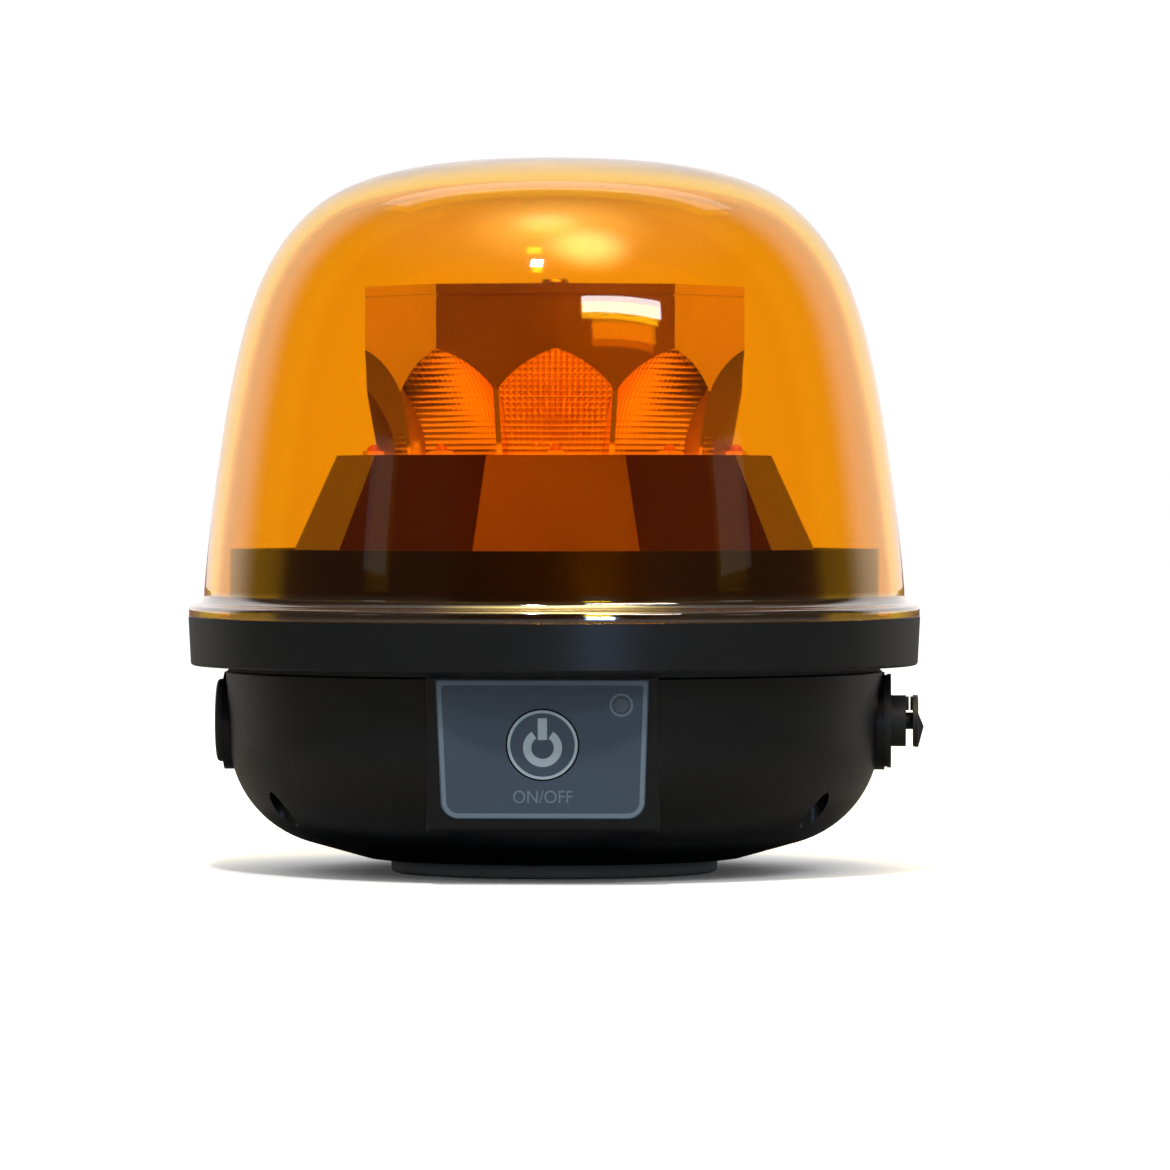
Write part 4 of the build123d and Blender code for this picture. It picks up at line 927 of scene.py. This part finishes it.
class BEACON_OT_inside(bpy.types.Operator):
    """Finish the boards, cells, coil, connectors and leads shut in the base."""

    bl_idname = "beacon.inside"
    bl_label = "Inner parts"

    def execute(self, context):
        board = moulded("green_board_lacquer", (0.02, 0.16, 0.07), 0.3, 0.000003, 1500.0, mottle=1.3)
        sleeve = moulded("cell_sleeve_blue", (0.05, 0.18, 0.45), 0.32, 0.000003, 900.0, mottle=1.2)
        copper = metal("enamelled_winding", (0.72, 0.36, 0.16), 0.5, 0.25, (200.0, 200.0, 5000.0))
        white = moulded("off_white_moulding", (0.70, 0.68, 0.62), 0.45, 0.000005, 1500.0, mottle=1.06)
        red = moulded("red_insulation", (0.45, 0.02, 0.015), 0.45, 0.000005, 2500.0)
        black = moulded("black_insulation", (0.015, 0.015, 0.015), 0.45, 0.000005, 2500.0)
        give(board, "switch_board", "control_board")
        give(sleeve, "battery_cells")
        give(copper, "driver_coil")
        give(white, "lead_plugs")
        give(red, "lamp_leads", "battery_leads")
        give(black, "charge_leads", "switch_leads")
        return {"FINISHED"}


class BEACON_OT_stage(bpy.types.Operator):
    """Set the floor, the white studio, the soft boxes and the level camera."""

    bl_idname = "beacon.stage"
    bl_label = "Studio stage"

    def execute(self, context):
        self.lay_floor()
        self.light_studio(context)
        self.hang_soft_boxes(context)
        self.place_camera(context)
        context.scene.view_settings.view_transform = "Standard"
        return {"FINISHED"}

    def lay_floor(self):
        """A wide round floor in white matt paper, dimmer to mirrors and to what stands on it."""
        radii = np.array([0.0, 0.3, 1.0, 4.0, 20.0, 60.0])
        points = turned(np.stack([radii, np.zeros(6)], axis=-1), 96)
        material, tree, shader = fresh_material("white_paper")
        place = added(tree, "TexCoord")
        clouds = added(tree, "TexNoise", {"Scale": 3.0})
        whites = {6: (0.94, 0.94, 0.94, 1), 7: (0.96, 0.96, 0.96, 1)}
        paper = added(tree, "Mix", whites, data_type="RGBA")
        shade = added(tree, "Mix", {7: (0.15, 0.15, 0.155, 1)}, data_type="RGBA")
        path = added(tree, "LightPath")
        turns = added(tree, "Math", use_clamp=True)
        wired(tree, (
            (place, "Object", clouds, "Vector"),
            (clouds, "Fac", paper, "Factor"),
            (path, "Glossy Depth", turns, 0),
            (path, "Diffuse Depth", turns, 1),
            (turns, 0, shade, "Factor"),
            (paper, 2, shade, 6),
            (shade, 2, shader, "Base Color"),
        ))
        fill(shader, {"Roughness": 0.95, "Specular IOR Level": 0.0})
        mesh_object("studio_floor", points, grid_faces(6, 96, closed_columns=True), material)

    def light_studio(self, context):
        """A white studio all round, in which mirrors see black cards on the camera's side.

        What mirrors see is the sum of three smooth steps: over a direction's depth y from the dark round
        the camera to the flanks, from the flanks to the white behind, and over its height z the ceiling.
        The white behind starts further back for gloss on an outer face than for mirrors inside the dome.
        """
        stage = context.scene.beacon_stage
        world = bpy.data.worlds.new("white_studio")
        world.use_nodes = True
        world.cycles.sampling_method = "NONE"
        context.scene.world = world
        tree = world.node_tree
        link = tree.links.new
        place = added(tree, "TexCoord")
        split = added(tree, "SeparateXYZ")
        link(place.outputs["Generated"], split.inputs[0])

        def ramp(source, low, high, start, end):
            """A smooth step from one brightness to another over a range of a direction's depth or height."""
            ends = {"From Min": low, "From Max": high, "To Min": start, "To Max": end}
            step = added(tree, "MapRange", ends, interpolation_type="SMOOTHSTEP")
            link(split.outputs[source], step.inputs["Value"])
            return step.outputs[0]

        def total(first, second):
            """Two brightnesses added."""
            both = added(tree, "Math", operation="ADD")
            link(first, both.inputs[0])
            link(second, both.inputs[1])
            return both.outputs[0]

        flanks = ramp("Y", -0.90, -0.78, stage.room, stage.flank)
        behind = ramp("Y", 0.12, 0.30, 0.0, stage.sweep - stage.flank)
        gloss_behind = ramp("Y", 0.38, 0.62, 0.0, stage.sweep - stage.flank)
        ceiling = ramp("Z", 0.62, 0.92, 0.0, 0.25)
        path = added(tree, "LightPath")
        through = added(tree, "Mix", clamp_factor=True)
        link(path.outputs["Transmission Depth"], through.inputs[0])
        link(gloss_behind, through.inputs[2])
        link(behind, through.inputs[3])
        seen = total(total(flanks, through.outputs[0]), ceiling)
        chooser = added(tree, "Mix", {2: stage.sweep}, clamp_factor=True)
        link(path.outputs["Glossy Depth"], chooser.inputs[0])
        link(seen, chooser.inputs[3])
        background = tree.nodes["Background"]
        link(chooser.outputs[0], background.inputs["Strength"])
        background.inputs["Color"].default_value = (1, 1, 1, 1)

    def hang_soft_boxes(self, context):
        """Lights round the beacon: azimuth from the front and height in degrees, distance, size and glow."""
        self.soft_box("key_lamp", -6.8, 54, 1.5, 0.09, 0.09, 500.0)
        self.soft_box("front_box", 29.6, 36, 1.5, 0.70, 0.14, 18.0, roll=-9)
        self.soft_box("warm_box", 29.0, 29.9, 1.5, 0.56, 0.135, 7.5, colour=(1.0, 0.30, 0.0), roll=-6,
                      lights_matt=False)
        self.glow_card("overhead_card", 24.0, 63, 1.4, 0.42, 9.0, (1.0, 0.87, 0.42))
        self.glow_card("front_card", -9.0, 80, 1.4, 0.30, 5.0, (1.0, 0.87, 0.45))
        self.glow_card("ceiling_card", 4.0, 78, 1.4, 0.85, 4.5, (1.0, 0.78, 0.24))
        self.soft_box("back_bar", 180.0, 58, 1.6, 1.6, 0.35, 1.1)
        self.soft_box("left_strip", -58, 11, 1.5, 0.22, 0.20, 0.35)
        self.soft_box("right_strip", 63, 11, 1.5, 0.30, 0.20, 0.35)
        self.soft_box("window_box", 16, -1, 1.5, 0.22, 0.10, 20.0, colour=(0.40, 0.60, 1.0))

    def soft_box(self, name, azimuth, height, distance, width, tall, glow, colour=(1, 1, 1), roll=0,
                 lights_matt=True):
        """A rectangular lamp that faces the beacon, its power worked out from its glow times its area.

        A lamp that doesn't light matt surfaces shows only as a reflection.
        """
        lamp = bpy.data.lights.new(name, "AREA")
        lamp.shape = "RECTANGLE"
        lamp.size = width
        lamp.size_y = tall
        lamp.color = colour
        lamp.energy = glow * math.pi * width * tall
        box = bpy.data.objects.new(name, lamp)
        bpy.context.scene.collection.objects.link(box)
        towards = Vector(light_direction(azimuth, height))
        box.location = Vector((0, 0, LIT_HEIGHT)) + towards * distance
        facing = towards.to_track_quat("Z", "Y") @ Quaternion((0, 0, 1), math.radians(roll))
        box.rotation_euler = facing.to_euler()
        box.visible_camera = False
        box.visible_diffuse = lights_matt

    def glow_card(self, name, azimuth, height, distance, radius, glow, colour):
        """A round card that glows most in its middle: its strength falls smoothly to nothing at its rim."""
        towards = light_direction(azimuth, height)
        across = light_direction(azimuth + 90, 0)
        rings = np.stack([np.linspace(0, radius, 6), np.zeros(6)], axis=-1)
        disc = turned(rings, 48)
        points = disc[:, :1] * across + disc[:, 1:2] * np.cross(towards, across)
        centre = towards * distance + np.array([0, 0, LIT_HEIGHT])
        material = bpy.data.materials.new(name)
        material.use_nodes = True
        tree = material.node_tree
        place = added(tree, "TexCoord")
        offset = added(tree, "VectorMath", operation="DISTANCE")
        offset.inputs[1].default_value = centre.tolist()
        fading = {"From Min": 0.0, "From Max": radius, "To Min": glow, "To Max": 0.0}
        fall = added(tree, "MapRange", fading, interpolation_type="SMOOTHERSTEP")
        light = added(tree, "Emission", {"Color": (*colour, 1)})
        clear = added(tree, "BsdfTransparent")
        both = added(tree, "AddShader")
        wired(tree, (
            (place, "Object", offset, 0),
            (offset, "Value", fall, "Value"),
            (fall, 0, light, "Strength"),
            (light, 0, both, 0),
            (clear, 0, both, 1),
        ))
        tree.links.new(both.outputs[0], tree.nodes["Material Output"].inputs["Surface"])
        card = mesh_object(name, points + centre, grid_faces(6, 48, closed_columns=True), material)
        card.visible_camera = False

    def place_camera(self, context):
        """A level camera whose focal length shows one pixel's size at the beacon's axis."""
        stage = context.scene.beacon_stage
        lens = bpy.data.cameras.new("studio_camera")
        lens.sensor_width = 36.0
        lens.lens = lens.sensor_width * stage.distance / stage.pixel / PICTURE
        lens.shift_y = (stage.eye_row - PICTURE / 2) / PICTURE
        lens.clip_end = 100.0
        camera = bpy.data.objects.new("studio_camera", lens)
        context.scene.collection.objects.link(camera)
        a = stage.azimuth
        across = Vector((math.cos(a), math.sin(a), 0)) * stage.side_step
        back = Vector((math.sin(a), -math.cos(a), 0)) * stage.distance
        camera.location = across + back + Vector((0, 0, stage.eye_height))
        camera.rotation_euler = (math.pi / 2, 0, a)
        context.scene.camera = camera


class BEACON_PT_panel(bpy.types.Panel):
    """The beacon's finishing steps."""

    bl_idname = "BEACON_PT_panel"
    bl_label = "Beacon"
    bl_space_type = "VIEW_3D"
    bl_region_type = "UI"
    bl_category = "Beacon"

    def draw(self, context):
        for step in STEPS:
            self.layout.operator(step.bl_idname)


SIZES = {
    "beacon_dome": BeaconDomeSizes,
    "beacon_crown": BeaconCrownSizes,
    "beacon_keypad": BeaconKeypadSizes,
    "beacon_colours": BeaconColours,
    "beacon_stage": BeaconStageSizes,
}
STEPS = (
    BEACON_OT_stage,
    BEACON_OT_dome,
    BEACON_OT_base,
    BEACON_OT_keypad,
    BEACON_OT_fittings,
    BEACON_OT_magnet,
    BEACON_OT_module,
    BEACON_OT_inside,
)


def register():
    """Register the sizes, the steps and the panel."""
    for name, group in SIZES.items():
        bpy.utils.register_class(group)
        setattr(bpy.types.Scene, name, bpy.props.PointerProperty(type=group))
    for step in STEPS:
        bpy.utils.register_class(step)
    bpy.utils.register_class(BEACON_PT_panel)


def unregister():
    """Take the panel, the steps and the sizes out again."""
    bpy.utils.unregister_class(BEACON_PT_panel)
    for step in reversed(STEPS):
        bpy.utils.unregister_class(step)
    for name, group in SIZES.items():
        delattr(bpy.types.Scene, name)
        bpy.utils.unregister_class(group)


def main():
    """Finish the beacon step by step."""
    register()
    for step in STEPS:
        group, name = step.bl_idname.split(".")
        result = getattr(getattr(bpy.ops, group), name)()
        if result != {"FINISHED"}:
            raise RuntimeError(f"{step.bl_label} did not finish")


if __name__ == "__main__":
    main()
